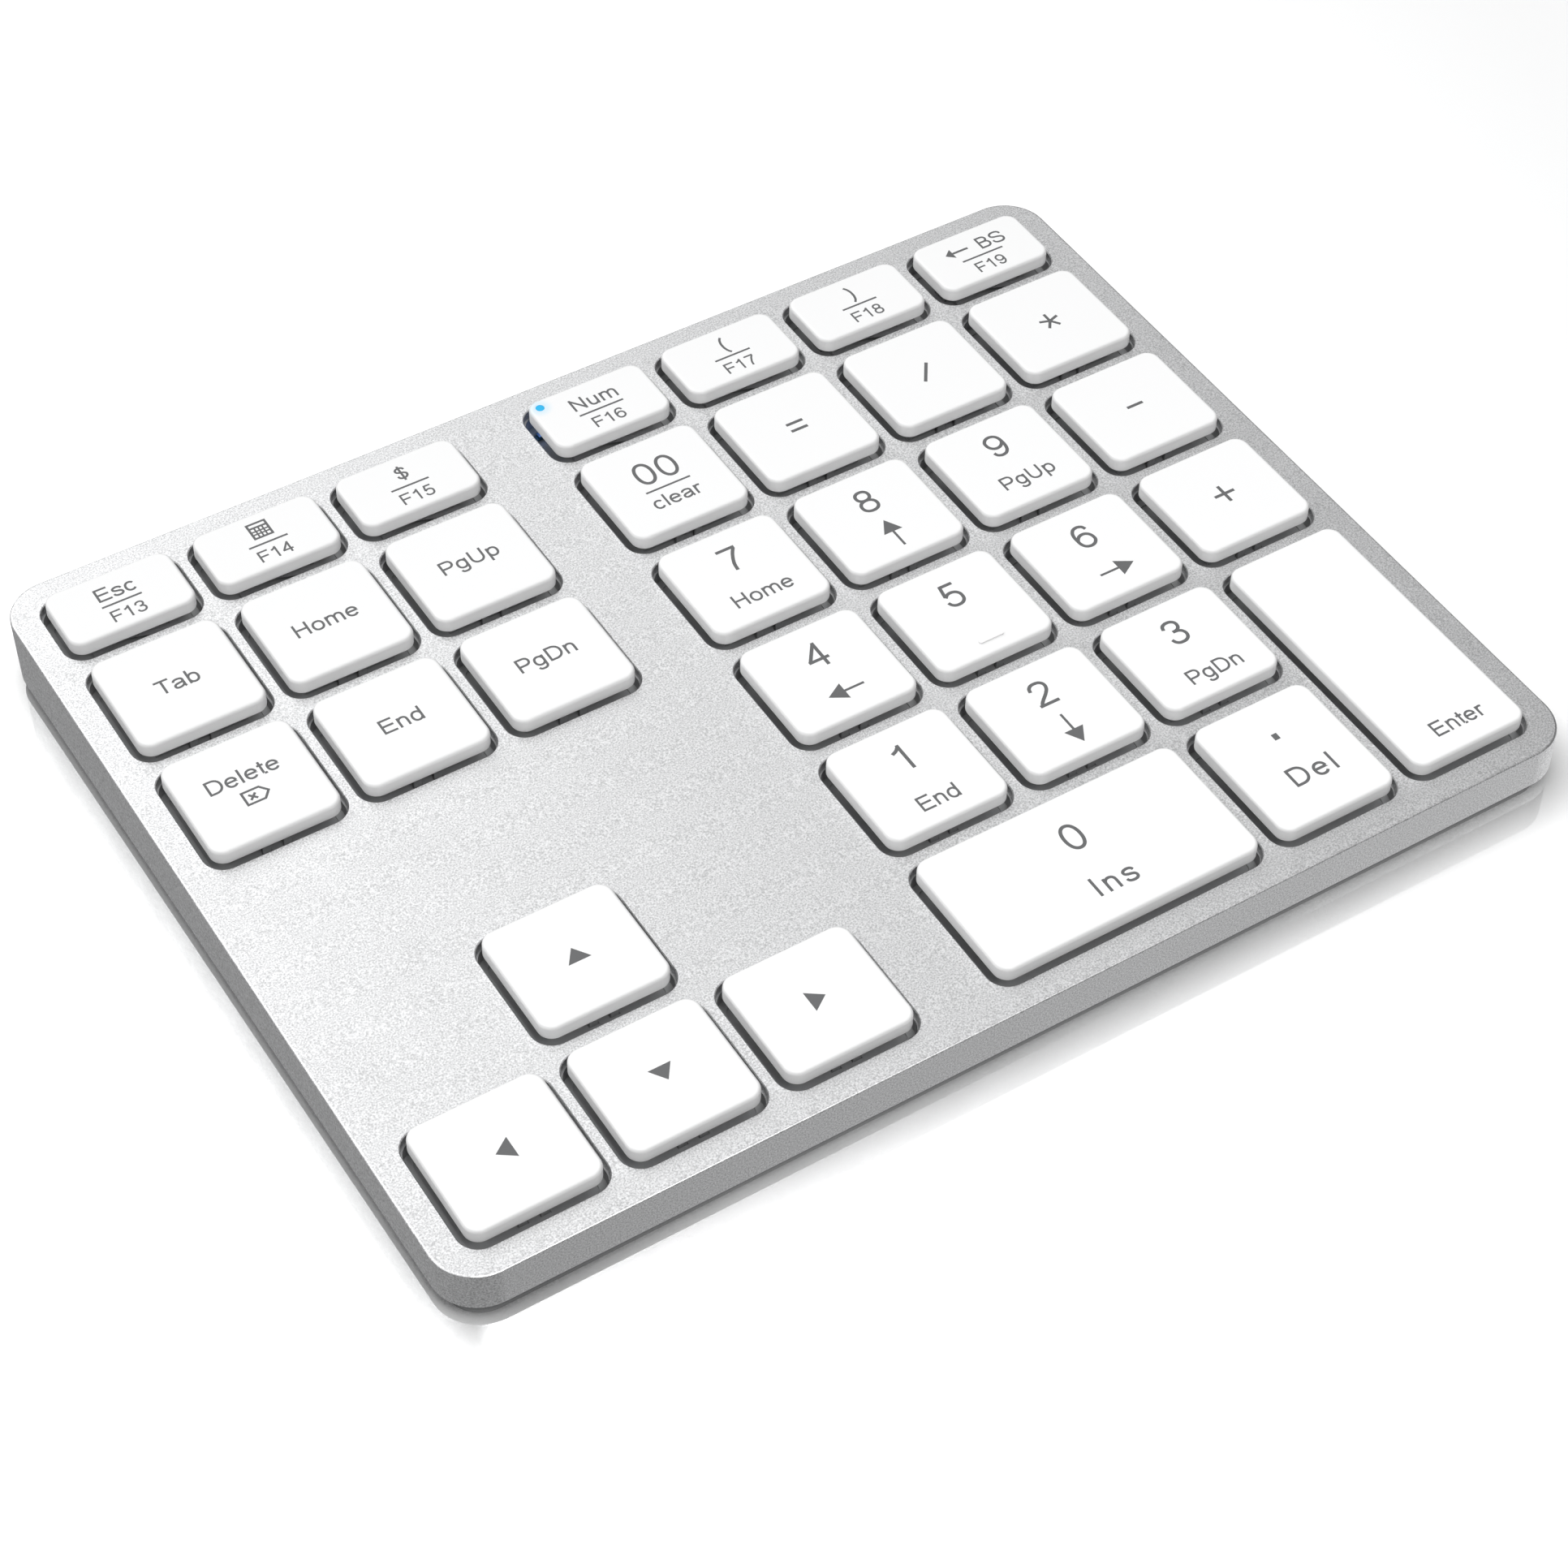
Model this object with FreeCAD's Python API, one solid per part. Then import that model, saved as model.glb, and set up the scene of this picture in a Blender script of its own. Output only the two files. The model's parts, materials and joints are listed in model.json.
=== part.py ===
import FreeCAD, Part
import math
import os

from FreeCAD import Placement, Rotation, Vector

# Wireless numeric keypad with a wedge-shaped aluminium case, scissor keys and an arrow cluster.
# Units are millimetres. +X is to the user's right, +Y points away from the user, +Z is up.
# The origin is on the table, under the centre of the case.
# The deck (the case's top face) slopes, so keys and their mechanism are drawn in a deck frame,
# whose z = 0 is the top face, and are then placed with on_deck().

# ---- Driving dimensions ----

CASE_WIDTH = 146.2
CASE_DEPTH = 113.2
CASE_CORNER_R = 5.6
CASE_EDGE_R = 0.3
WALL = 1.5
DECK_THICKNESS = 1.2
FRONT_HEIGHT = 6.7          # top face above the table, at the front edge
TILT = 2.0                  # slope of the deck, in degrees
RIM_Z = 1.5                 # lower rim of the case above the table
COVER_THICKNESS = 1.2

KEY_PITCH_X = 19.0
KEY_PITCH_Y = 18.53
OPENING_WIDTH = 17.58
OPENING_DEPTH = 16.77
FUNCTION_OPENING_DEPTH = 11.09
BOTTOM_ROW_EXTRA = 2.79     # the lowest row of the number block is this much deeper
BLOCK_GAP = 7.71            # extra space between the left block and the number block
FRONT_MARGIN = 3.25         # case side to the nearest opening, at the front
OPENING_CORNER_R = 2.6
OPENING_CHAMFER = 0.12

KEY_GAP = 0.78              # opening to keycap, all round
CAP_TOP = 1.86
CAP_BOTTOM = 0.05
CAP_ROOF = 1.0
CAP_WALL = 1.0
CAP_CORNER_R = 1.75
CAP_EDGE_R = 0.45
KEY_TRAVEL = 1.8

PLATE_TOP = -3.3
PLATE_THICKNESS = 0.3
PLATE_INSET = 2.2
MEMBRANE_THICKNESS = 0.18
MEMBRANE_INSET = 2.8

LINK_LOW_Z = -2.6           # height of a link's lower axle
LINK_HIGH_Z = 0.35          # height of a link's upper axle
LINK_REACH = 4.9            # axle to key centre, along the link
LINK_THICKNESS = 0.7

LINER_WALL = 0.2            # thin plastic wall round each opening, under the deck
LINER_LEDGE = 1.2           # flat foot of the liner, measured inwards from the opening
LINER_LEDGE_HEIGHT = 0.13

BOARD_BOTTOM = 3.7
BOARD_THICKNESS = 0.8

FOOT_R = 4.5
LIGHT_R = 0.55

PORT_X = 22.0
SWITCH_X = 38.0
SWITCH_TRAVEL = 2.0
PAIRING_POSITION = (6.0, 46.0)
PAIRING_TRAVEL = 0.2

BATTERY_X0 = -63.0
BATTERY_X1 = -24.0
BATTERY_Y0 = 8.0
BATTERY_Y1 = 34.0
BATTERY_TOP = 4.9

TAIL_WIDTH = 7.0
TAIL_SLOT_FRONT = 30.0
TAIL_SLOT_BACK = 33.5

# ---- Derived sizes ----

HALF_WIDTH = CASE_WIDTH / 2
HALF_DEPTH = CASE_DEPTH / 2
SLOPE = math.tan(math.radians(TILT))
DECK_CENTRE_Z = FRONT_HEIGHT + HALF_DEPTH * SLOPE
WEB_X = KEY_PITCH_X - OPENING_WIDTH
WEB_Y = KEY_PITCH_Y - OPENING_DEPTH
NUMBER_BLOCK_START = 3 * KEY_PITCH_X + BLOCK_GAP
GRID_WIDTH = NUMBER_BLOCK_START + 3 * KEY_PITCH_X + OPENING_WIDTH
GRID_LEFT = -GRID_WIDTH / 2
ROW_DROP = 4 * KEY_PITCH_Y + BOTTOM_ROW_EXTRA
TOP_ROW_Y = -HALF_DEPTH + FRONT_MARGIN + ROW_DROP     # front edge of the highest full-depth row
PLATE_BOTTOM = PLATE_TOP - PLATE_THICKNESS
MEMBRANE_BOTTOM = PLATE_TOP + 0.02
MEMBRANE_TOP = MEMBRANE_BOTTOM + MEMBRANE_THICKNESS
CAP_UNDERSIDE = CAP_TOP - CAP_ROOF
LINER_TOP = -DECK_THICKNESS - 0.02
LINER_BOTTOM = MEMBRANE_TOP + 0.02
CLIP_BOTTOM = MEMBRANE_TOP + KEY_TRAVEL + 0.85     # leaves room under a pressed keycap's clips
BOARD_TOP = BOARD_BOTTOM + BOARD_THICKNESS
COVER_TOP = RIM_Z + COVER_THICKNESS
PAIRING_SWITCH_FACE = BOARD_BOTTOM - 0.42

# ---- Key layout: name, column, row ----
# Row 0 is the half-depth function row, row 1 the highest full row, row 5 the lowest row.

LEFT_BLOCK = [
    ("esc", 0, 0), ("calculator", 1, 0), ("dollar", 2, 0),
    ("tab", 0, 1), ("home", 1, 1), ("page_up", 2, 1),
    ("delete", 0, 2), ("end", 1, 2), ("page_down", 2, 2),
    ("arrow_up", 1, 4),
    ("arrow_left", 0, 5), ("arrow_down", 1, 5), ("arrow_right", 2, 5),
]
NUMBER_BLOCK = [
    ("num", 0, 0), ("open_bracket", 1, 0), ("close_bracket", 2, 0), ("backspace", 3, 0),
    ("double_zero", 0, 1), ("equals", 1, 1), ("divide", 2, 1), ("multiply", 3, 1),
    ("7", 0, 2), ("8", 1, 2), ("9", 2, 2), ("minus", 3, 2),
    ("4", 0, 3), ("5", 1, 3), ("6", 2, 3), ("plus", 3, 3),
    ("1", 0, 4), ("2", 1, 4), ("3", 2, 4), ("enter", 3, 5),
    ("0", 0, 5), ("decimal", 2, 5),
]


class Key:
    """Place and size of one key's opening, in the deck frame."""

    def __init__(self, name, left, front, width, depth):
        self.name = name
        self.left = left
        self.front = front
        self.width = width
        self.depth = depth
        self.x = left + width / 2
        self.y = front + depth / 2
        self.half_depth_key = depth < 0.8 * OPENING_DEPTH


def row_front(row):
    """Front edge of a row's openings."""
    if row == 0:
        return TOP_ROW_Y + KEY_PITCH_Y
    if row == 5:
        return TOP_ROW_Y - ROW_DROP
    return TOP_ROW_Y - (row - 1) * KEY_PITCH_Y


def lay_out_keys():
    keys = []
    for name, column, row in LEFT_BLOCK:
        front = row_front(row)
        if name == "arrow_up":
            front = row_front(5) + KEY_PITCH_Y
        depth = FUNCTION_OPENING_DEPTH if row == 0 else OPENING_DEPTH
        keys.append(Key(name, GRID_LEFT + column * KEY_PITCH_X, front, OPENING_WIDTH, depth))
    for name, column, row in NUMBER_BLOCK:
        left = GRID_LEFT + NUMBER_BLOCK_START + column * KEY_PITCH_X
        width = OPENING_WIDTH
        depth = OPENING_DEPTH
        if row == 0:
            depth = FUNCTION_OPENING_DEPTH
        if row == 5:
            depth = OPENING_DEPTH + BOTTOM_ROW_EXTRA
        if name == "0":
            width += KEY_PITCH_X
        if name == "enter":
            depth += KEY_PITCH_Y
        keys.append(Key(name, left, row_front(row), width, depth))
    return keys


KEYS = lay_out_keys()
KEY_BY_NAME = {key.name: key for key in KEYS}

# ---- Screw places, in the deck frame: in blank deck areas and where four key openings meet ----

CROSS_A = GRID_LEFT + KEY_PITCH_X - WEB_X / 2                        # between left columns 0 and 1
CROSS_B = CROSS_A + KEY_PITCH_X
CROSS_C = GRID_LEFT + NUMBER_BLOCK_START + KEY_PITCH_X - WEB_X / 2   # number columns 0 and 1
CROSS_D = CROSS_C + KEY_PITCH_X
CROSS_E = CROSS_D + KEY_PITCH_X
STRIP_X = GRID_LEFT + NUMBER_BLOCK_START - (BLOCK_GAP + WEB_X) / 2


def web_below(row):
    """Middle of the web in front of a row's openings."""
    return row_front(row) - WEB_Y / 2


CASE_SCREWS = [
    (CROSS_A, web_below(0), 1.7),
    (CROSS_E, web_below(0), 1.7),
    (CROSS_E, web_below(2), 1.7),
    (CROSS_E - 0.95, web_below(4), 1.5),
    (STRIP_X, 20.0, 2.3),
    (STRIP_X, -45.0, 2.3),
    (-24.0, -7.0, 2.3),
    (-60.5, -31.5, 2.3),
]
PLATE_SCREWS = [
    (CROSS_B, web_below(0)), (CROSS_C, web_below(0)), (CROSS_D, web_below(0)),
    (CROSS_A, web_below(1)), (CROSS_B, web_below(1)), (CROSS_C, web_below(1)),
    (CROSS_D, web_below(2)), (CROSS_C, web_below(3)), (CROSS_D, web_below(3)),
    (-60.0, -7.0), (STRIP_X, -10.0),
]

CASE_SCREW_R = 0.8
PLATE_SCREW_R = 0.7
PLATE_BOSS_R = 1.5


# ---- Helpers ----

def deck_height(y):
    """Height of the deck's top face above the table at a given y."""
    return DECK_CENTRE_Z + y * SLOPE


def on_deck(shape):
    """Move a shape from the deck frame to its place in the object."""
    placed = shape.copy()
    turn = Placement(Vector(0, 0, DECK_CENTRE_Z), Rotation(Vector(1, 0, 0), TILT))
    placed.transformShape(turn.toMatrix(), True)
    return placed


def box(x0, y0, z0, x1, y1, z1):
    return Part.makeBox(x1 - x0, y1 - y0, z1 - z0, Vector(x0, y0, z0))


def cylinder(x, y, z, radius, height, direction=Vector(0, 0, 1)):
    return Part.makeCylinder(radius, height, Vector(x, y, z), direction)


def rounded_wire(x0, y0, x1, y1, radius, z=0.0):
    """Rectangle with round corners, as a closed wire at height z."""
    k = radius * (1 - math.sqrt(0.5))
    p = [
        Vector(x0 + radius, y0, z), Vector(x1 - radius, y0, z), Vector(x1 - k, y0 + k, z),
        Vector(x1, y0 + radius, z), Vector(x1, y1 - radius, z), Vector(x1 - k, y1 - k, z),
        Vector(x1 - radius, y1, z), Vector(x0 + radius, y1, z), Vector(x0 + k, y1 - k, z),
        Vector(x0, y1 - radius, z), Vector(x0, y0 + radius, z), Vector(x0 + k, y0 + k, z),
    ]
    edges = []
    for start in (0, 3, 6, 9):
        edges.append(Part.makeLine(p[start], p[start + 1]))
        edges.append(Part.Arc(p[start + 1], p[start + 2], p[(start + 3) % 12]).toShape())
    return Part.Wire(edges)


def rounded_block(x0, y0, x1, y1, radius, z0, z1):
    face = Part.Face(rounded_wire(x0, y0, x1, y1, radius, z0))
    return face.extrude(Vector(0, 0, z1 - z0))


def plan_block(inset, radius, z0, z1):
    """Vertical block with the case's plan, inset all round."""
    x = HALF_WIDTH - inset
    y = HALF_DEPTH - inset
    return rounded_block(-x, -y, x, y, radius, z0, z1)


def below_deck(depth):
    """Everything under a plane parallel to the deck, at a given depth under its top face."""
    size = 2 * CASE_WIDTH
    return on_deck(box(-size, -size, -size, size, size, -depth))


def extrude_profile(points, x0, x1):
    """Prism along X from a closed outline of (y, z) points."""
    outline = [Vector(x0, y, z) for y, z in points]
    face = Part.Face(Part.makePolygon(outline + [outline[0]]))
    return face.extrude(Vector(x1 - x0, 0, 0))


def bent_wire(points, radius):
    """Round wire through the given points, with a ball at each bend."""
    pieces = []
    for start, end in zip(points[:-1], points[1:]):
        run = end - start
        pieces.append(Part.makeCylinder(radius, run.Length, start, run))
    for point in points[1:-1]:
        pieces.append(Part.makeSphere(radius, point))
    return pieces[0].multiFuse(pieces[1:]).removeSplitter()


def turned(shape, key):
    """A key's mechanism is drawn along Y, and turned to lie along X under a half-depth key."""
    moved = shape.copy()
    if key.half_depth_key:
        moved.rotate(Vector(0, 0, 0), Vector(0, 0, 1), 90)
    moved.translate(Vector(key.x, key.y, 0))
    return moved


def save(shape, node):
    if not shape.isValid():
        raise ValueError(node + " is not a valid shape")
    shape.exportStep(os.path.join("parts", node + ".step"))
    print(node, len(shape.Solids), "solid(s)", round(shape.Volume, 2), "mm3")


# ---- Case ----

def opening_cutter(key):
    """Hole for one key with a small chamfer at the deck's top face."""
    x1 = key.left + key.width
    y1 = key.front + key.depth
    hole = rounded_block(key.left, key.front, x1, y1, OPENING_CORNER_R, -DECK_THICKNESS - 1, 1)
    flare = []
    for z, grow in ((-OPENING_CHAMFER, 0.0), (OPENING_CHAMFER, 2 * OPENING_CHAMFER)):
        flare.append(rounded_wire(key.left - grow, key.front - grow, x1 + grow, y1 + grow,
                                  OPENING_CORNER_R + grow, z))
    return hole.fuse(Part.makeLoft(flare, True, True))


def round_top_edge(block):
    """Round the outer edge of the sloping top face."""
    rim = []
    for edge in block.Edges:
        on_top = all(abs(v.Z - deck_height(v.Y)) < 0.01 for v in edge.Vertexes)
        if on_top:
            rim.append(edge)
    return block.makeFillet(CASE_EDGE_R, rim)


def make_top_case():
    height = 2 * FRONT_HEIGHT
    outside = plan_block(0, CASE_CORNER_R, RIM_Z, height).common(below_deck(0))
    outside = round_top_edge(outside)
    inside = plan_block(WALL, CASE_CORNER_R - WALL, 0, height).common(below_deck(DECK_THICKNESS))
    case = outside.cut(inside)

    bosses = []
    for x, y, radius in CASE_SCREWS:
        top = deck_height(y) - DECK_THICKNESS / 2
        start = COVER_TOP + 0.02
        bosses.append(cylinder(x, y, start, radius, top - start))
    for x, y in PLATE_SCREWS:
        start = PLATE_TOP + 0.01
        bosses.append(on_deck(cylinder(x, y, start, PLATE_BOSS_R, -DECK_THICKNESS / 2 - start)))
    case = case.multiFuse(bosses).removeSplitter()

    cuts = [on_deck(opening_cutter(key)) for key in KEYS]
    for x, y, radius in CASE_SCREWS:
        cuts.append(cylinder(x, y, COVER_TOP, CASE_SCREW_R + 0.02, 2.6))
    for x, y in PLATE_SCREWS:
        hole = cylinder(x, y, PLATE_TOP, PLATE_SCREW_R + 0.02, 1.9)
        cuts.append(on_deck(hole))
    cuts.append(port_outline(0.18, HALF_DEPTH - WALL - 1, 3 * WALL))
    cuts.append(switch_slot())
    return case.cut(Part.makeCompound(cuts))


def switch_slot():
    half = 1.1 + SWITCH_TRAVEL / 2 + 0.25
    z = BOARD_TOP + 0.75
    return box(SWITCH_X - half, HALF_DEPTH - 2 * WALL, z - 0.85, SWITCH_X + half, HALF_DEPTH + 1, z + 0.85)


def make_bottom_cover():
    inset = WALL + 0.1
    cover = plan_block(inset, CASE_CORNER_R - inset, RIM_Z, COVER_TOP)
    cuts = []
    for x, y, radius in CASE_SCREWS:
        cuts.append(cylinder(x, y, RIM_Z - 0.1, 1.75, 0.8))
        cuts.append(cylinder(x, y, RIM_Z, 0.95, 2))
    for x, y in foot_places():
        cuts.append(cylinder(x, y, RIM_Z - 0.1, FOOT_R + 0.05, 0.6))
    x, y = PAIRING_POSITION
    cuts.append(cylinder(x, y, RIM_Z - 0.1, 2.3, 2))
    return cover.cut(Part.makeCompound(cuts))


def foot_places():
    x = HALF_WIDTH - 11
    y = HALF_DEPTH - 9
    return [(-x, -y), (x, -y), (-x, y), (x, y)]


def make_rubber_feet():
    feet = []
    for x, y in foot_places():
        foot = cylinder(x, y, 0, FOOT_R, RIM_Z + 0.48)
        rim = [edge for edge in foot.Edges if edge.BoundBox.ZMax < 0.01]
        feet.append(foot.makeFillet(0.4, rim))
    return Part.makeCompound(feet)


def screw(radius, length, head_radius, head_height):
    """Flat-headed screw with its head at the bottom, a slot in the head, and its shank upward."""
    head = cylinder(0, 0, 0, head_radius, head_height)
    shank = cylinder(0, 0, 0, radius, length)
    arm = head_radius * 0.6
    cross = box(-arm, -0.15, -0.1, arm, 0.15, head_height * 0.5)
    cross = cross.fuse(box(-0.15, -arm, -0.1, 0.15, arm, head_height * 0.5))
    return head.fuse(shank).removeSplitter().cut(cross)


def make_case_screws():
    screws = []
    for x, y, radius in CASE_SCREWS:
        one = screw(CASE_SCREW_R, 3.5, 1.6, 0.55)
        one.translate(Vector(x, y, RIM_Z + 0.14))
        screws.append(one)
    return Part.makeCompound(screws)


def make_plate_screws():
    screws = []
    for x, y in PLATE_SCREWS:
        one = screw(PLATE_SCREW_R, 2.5, 1.3, 0.45)
        one.translate(Vector(x, y, PLATE_BOTTOM - 0.47))
        screws.append(on_deck(one))
    return Part.makeCompound(screws)


# ---- Keycaps ----

def cap_blank(key):
    """Outside of a keycap: a block with round corners and a soft top edge."""
    cap = rounded_block(key.left + KEY_GAP, key.front + KEY_GAP,
                        key.left + key.width - KEY_GAP, key.front + key.depth - KEY_GAP,
                        CAP_CORNER_R, CAP_BOTTOM, CAP_TOP)
    rim = [edge for edge in cap.Edges if edge.BoundBox.ZMin > CAP_TOP - 0.01]
    return cap.makeFillet(CAP_EDGE_R, rim)


def cap_clips(key):
    """Four hooked clips under the cap that hold the upper axles of the two links."""
    near, far = (1.3, 2.0) if key.half_depth_key else (2.4, 3.2)
    inner = LINK_REACH - 1.0
    clips = []
    for side in (-1, 1):
        for end in (-1, 1):
            x0, x1 = sorted((side * near, side * far))
            stem = sorted((end * (inner - 0.45), end * inner))
            lip = sorted((end * (inner - 0.1), end * LINK_REACH))
            post = box(x0, stem[0], CLIP_BOTTOM, x1, stem[1], CAP_UNDERSIDE + 0.2)
            hook = box(x0, lip[0], CLIP_BOTTOM, x1, lip[1], CLIP_BOTTOM + 0.23)
            clips.append(turned(post.fuse(hook), key))
    return clips


def make_keycap(key):
    inset = KEY_GAP + CAP_WALL
    hollow = rounded_block(key.left + inset, key.front + inset,
                           key.left + key.width - inset, key.front + key.depth - inset,
                           CAP_CORNER_R - CAP_WALL, CAP_BOTTOM - 1, CAP_UNDERSIDE)
    cap = cap_blank(key).cut(hollow).multiFuse(cap_clips(key))
    if key.name == "5":
        front = key.front + KEY_GAP
        bar = rounded_block(key.x - 1.7, front + 1.9, key.x + 1.7, front + 2.5, 0.29,
                            CAP_TOP - 0.3, CAP_TOP + 0.22)
        cap = cap.fuse(bar)
    if key.name == "num":
        x, y = light_position()
        cap = cap.cut(cylinder(x, y, 0, LIGHT_R + 0.02, 3))
    return on_deck(cap.removeSplitter())


def light_position():
    """The light window is in the far left corner of the Num keycap."""
    key = KEY_BY_NAME["num"]
    return key.left + KEY_GAP + 1.45, key.front + key.depth - KEY_GAP - 1.5


def make_light_window():
    x, y = light_position()
    return on_deck(cylinder(x, y, CAP_UNDERSIDE, LIGHT_R, CAP_ROOF))


# ---- Scissor mechanism, domes and stabilisers ----

def link_widths(key):
    """Outer half-width, bar width and gap to the inner link."""
    if key.half_depth_key:
        return 3.7, 0.7, 0.1
    return 5.8, 1.0, 0.2


def link_frame(half_width, bar, rising_to_back):
    """Rectangular frame that leans between its lower axle and its upper axle."""
    rise = LINK_HIGH_Z - LINK_LOW_Z
    slant = math.degrees(math.atan2(rise, 2 * LINK_REACH))
    half_length = math.hypot(LINK_REACH, rise / 2) + LINK_THICKNESS / 2
    half_thick = LINK_THICKNESS / 2
    frame = box(-half_width, -half_length, -half_thick, half_width, half_length, half_thick)
    window = box(-half_width + bar, -half_length + 0.9, -1, half_width - bar, half_length - 0.9, 1)
    frame = frame.cut(window)
    frame.rotate(Vector(0, 0, 0), Vector(1, 0, 0), slant if rising_to_back else -slant)
    frame.translate(Vector(0, 0, (LINK_HIGH_Z + LINK_LOW_Z) / 2))
    return frame


def pivot_pins(inner_half_width, length, radius):
    z = (LINK_HIGH_Z + LINK_LOW_Z) / 2
    pins = []
    for side in (-1, 1):
        start = side * (inner_half_width - 0.3)
        pins.append(cylinder(start, 0, z, radius, length + 0.3, Vector(side, 0, 0)))
    return pins


def make_outer_link(key):
    half_width, bar, gap = link_widths(key)
    frame = link_frame(half_width, bar, True)
    holes = pivot_pins(half_width - bar - gap, bar + gap + 0.5, 0.27)
    return turned(frame.cut(Part.makeCompound(holes)), key)


def make_inner_link(key):
    half_width, bar, gap = link_widths(key)
    inner_half_width = half_width - bar - gap
    frame = link_frame(inner_half_width, bar, False)
    pins = pivot_pins(inner_half_width, bar + gap - 0.1, 0.23)
    return turned(frame.multiFuse(pins).removeSplitter(), key)


def make_dome(key):
    """Thin rubber cone with a solid tip that pushes the cap up."""
    scale = 0.7 if key.half_depth_key else 1.0
    z = MEMBRANE_TOP + 0.02
    tip = CAP_UNDERSIDE - 0.03
    profile = [
        (2.2 * scale, z), (3.0 * scale, z), (3.0 * scale, z + 0.25), (2.5 * scale, z + 0.4),
        (1.5 * scale, z + 2.6), (1.5 * scale, tip), (0, tip), (0, z + 2.5),
        (1.1 * scale, z + 2.3),
    ]
    outline = Part.makePolygon([Vector(r, 0, h) for r, h in profile + [profile[0]]])
    dome = Part.Face(outline).revolve(Vector(0, 0, 0), Vector(0, 0, 1), 360)
    return turned(dome, key)


def make_zero_stabiliser():
    """Wire that keeps the wide key level: a bar under the cap with two arms down to the plate."""
    key = KEY_BY_NAME["0"]
    reach = 13.5
    bar_y = key.y + 6.9
    foot_y = key.y - 1.2
    points = []
    for side in (-1, 1):
        arm = [
            Vector(key.x + side * (reach - 1.6), foot_y, LINK_LOW_Z),
            Vector(key.x + side * reach, foot_y, LINK_LOW_Z),
            Vector(key.x + side * reach, bar_y, LINK_HIGH_Z),
        ]
        points += arm if side < 0 else reversed(arm)
    return on_deck(bent_wire(points, 0.35))


def make_enter_stabiliser():
    """The same for the tall key, with its bar along Y."""
    key = KEY_BY_NAME["enter"]
    reach = 14.5
    bar_x = key.x + 6.45
    foot_x = key.x - 1.6
    points = []
    for side in (-1, 1):
        arm = [
            Vector(foot_x, key.y + side * (reach - 1.6), LINK_LOW_Z),
            Vector(foot_x, key.y + side * reach, LINK_LOW_Z),
            Vector(bar_x, key.y + side * reach, LINK_HIGH_Z),
        ]
        points += arm if side < 0 else reversed(arm)
    return on_deck(bent_wire(points, 0.35))


# ---- Support plate and membrane ----

def hook_span(key):
    return (0.3, 1.0) if key.half_depth_key else (0.8, 1.8)


def plate_hooks(key):
    """Four hooks bent up from the plate that hold the lower axles of the two links."""
    near, far = hook_span(key)
    hooks = []
    for side in (-1, 1):
        for end in (-1, 1):
            x0, x1 = sorted((side * near, side * far))
            stem = sorted((end * (LINK_REACH + 0.75), end * (LINK_REACH + 1.05)))
            lip = sorted((end * (LINK_REACH + 0.1), end * (LINK_REACH + 1.05)))
            post = box(x0, stem[0], PLATE_TOP - 0.1, x1, stem[1], -1.8)
            hook = box(x0, lip[0], -2.05, x1, lip[1], -1.8)
            hooks.append(turned(post.fuse(hook), key))
    return hooks


def hook_slots(key):
    """Slots in the membrane that let the hooks through."""
    near, far = hook_span(key)
    slots = []
    for side in (-1, 1):
        for end in (-1, 1):
            x0, x1 = sorted((side * (near - 0.15), side * (far + 0.15)))
            y0, y1 = sorted((end * (LINK_REACH + 0.6), end * (LINK_REACH + 1.2)))
            slots.append(turned(box(x0, y0, MEMBRANE_BOTTOM - 1, x1, y1, MEMBRANE_TOP + 1), key))
    return slots


def boss_clearances(z0, z1, plate_screw_radius):
    cuts = []
    for x, y, radius in CASE_SCREWS:
        cuts.append(cylinder(x, y, z0, radius + 0.4, z1 - z0))
    for x, y in PLATE_SCREWS:
        cuts.append(cylinder(x, y, z0, plate_screw_radius, z1 - z0))
    return cuts


def make_support_plate():
    plate = plan_block(PLATE_INSET, CASE_CORNER_R - PLATE_INSET, PLATE_BOTTOM, PLATE_TOP)
    hooks = []
    for key in KEYS:
        hooks += plate_hooks(key)
    plate = plate.multiFuse(hooks).removeSplitter()
    cuts = boss_clearances(PLATE_BOTTOM - 1, PLATE_TOP + 1, PLATE_SCREW_R + 0.05)
    half = TAIL_WIDTH / 2 + 0.6
    cuts.append(box(STRIP_X - half, TAIL_SLOT_FRONT - 1.2, PLATE_BOTTOM - 1,
                    STRIP_X + half, TAIL_SLOT_BACK + 0.4, PLATE_TOP + 1))
    return on_deck(plate.cut(Part.makeCompound(cuts)))


def make_membrane():
    sheet = plan_block(MEMBRANE_INSET, CASE_CORNER_R - MEMBRANE_INSET, MEMBRANE_BOTTOM, MEMBRANE_TOP)
    cuts = boss_clearances(MEMBRANE_BOTTOM - 1, MEMBRANE_TOP + 1, PLATE_BOSS_R + 0.2)
    for key in KEYS:
        cuts += hook_slots(key)
    half = TAIL_WIDTH / 2 + 0.6
    cuts.append(box(STRIP_X - half, TAIL_SLOT_FRONT, MEMBRANE_BOTTOM - 1,
                    STRIP_X + half, TAIL_SLOT_BACK + 0.4, MEMBRANE_TOP + 1))
    return on_deck(sheet.cut(Part.makeCompound(cuts)))


def make_membrane_tail():
    """Flat tail that leaves the membrane, drops through the plate and enters its connector."""
    thickness = 0.15
    plug_z = BOARD_TOP + 0.45
    start_z = deck_height(TAIL_SLOT_FRONT) + MEMBRANE_BOTTOM + 0.02
    top = [
        (TAIL_SLOT_FRONT + 0.2, start_z + thickness),
        (TAIL_SLOT_FRONT + 0.7, start_z + thickness),
        (TAIL_SLOT_BACK - 0.6, plug_z + thickness),
        (TAIL_SLOT_BACK + 5.4, plug_z + thickness),
    ]
    bottom = [(y, z - thickness) for y, z in reversed(top)]
    return extrude_profile(top + bottom, STRIP_X - TAIL_WIDTH / 2, STRIP_X + TAIL_WIDTH / 2)


# ---- Electronics ----

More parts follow.
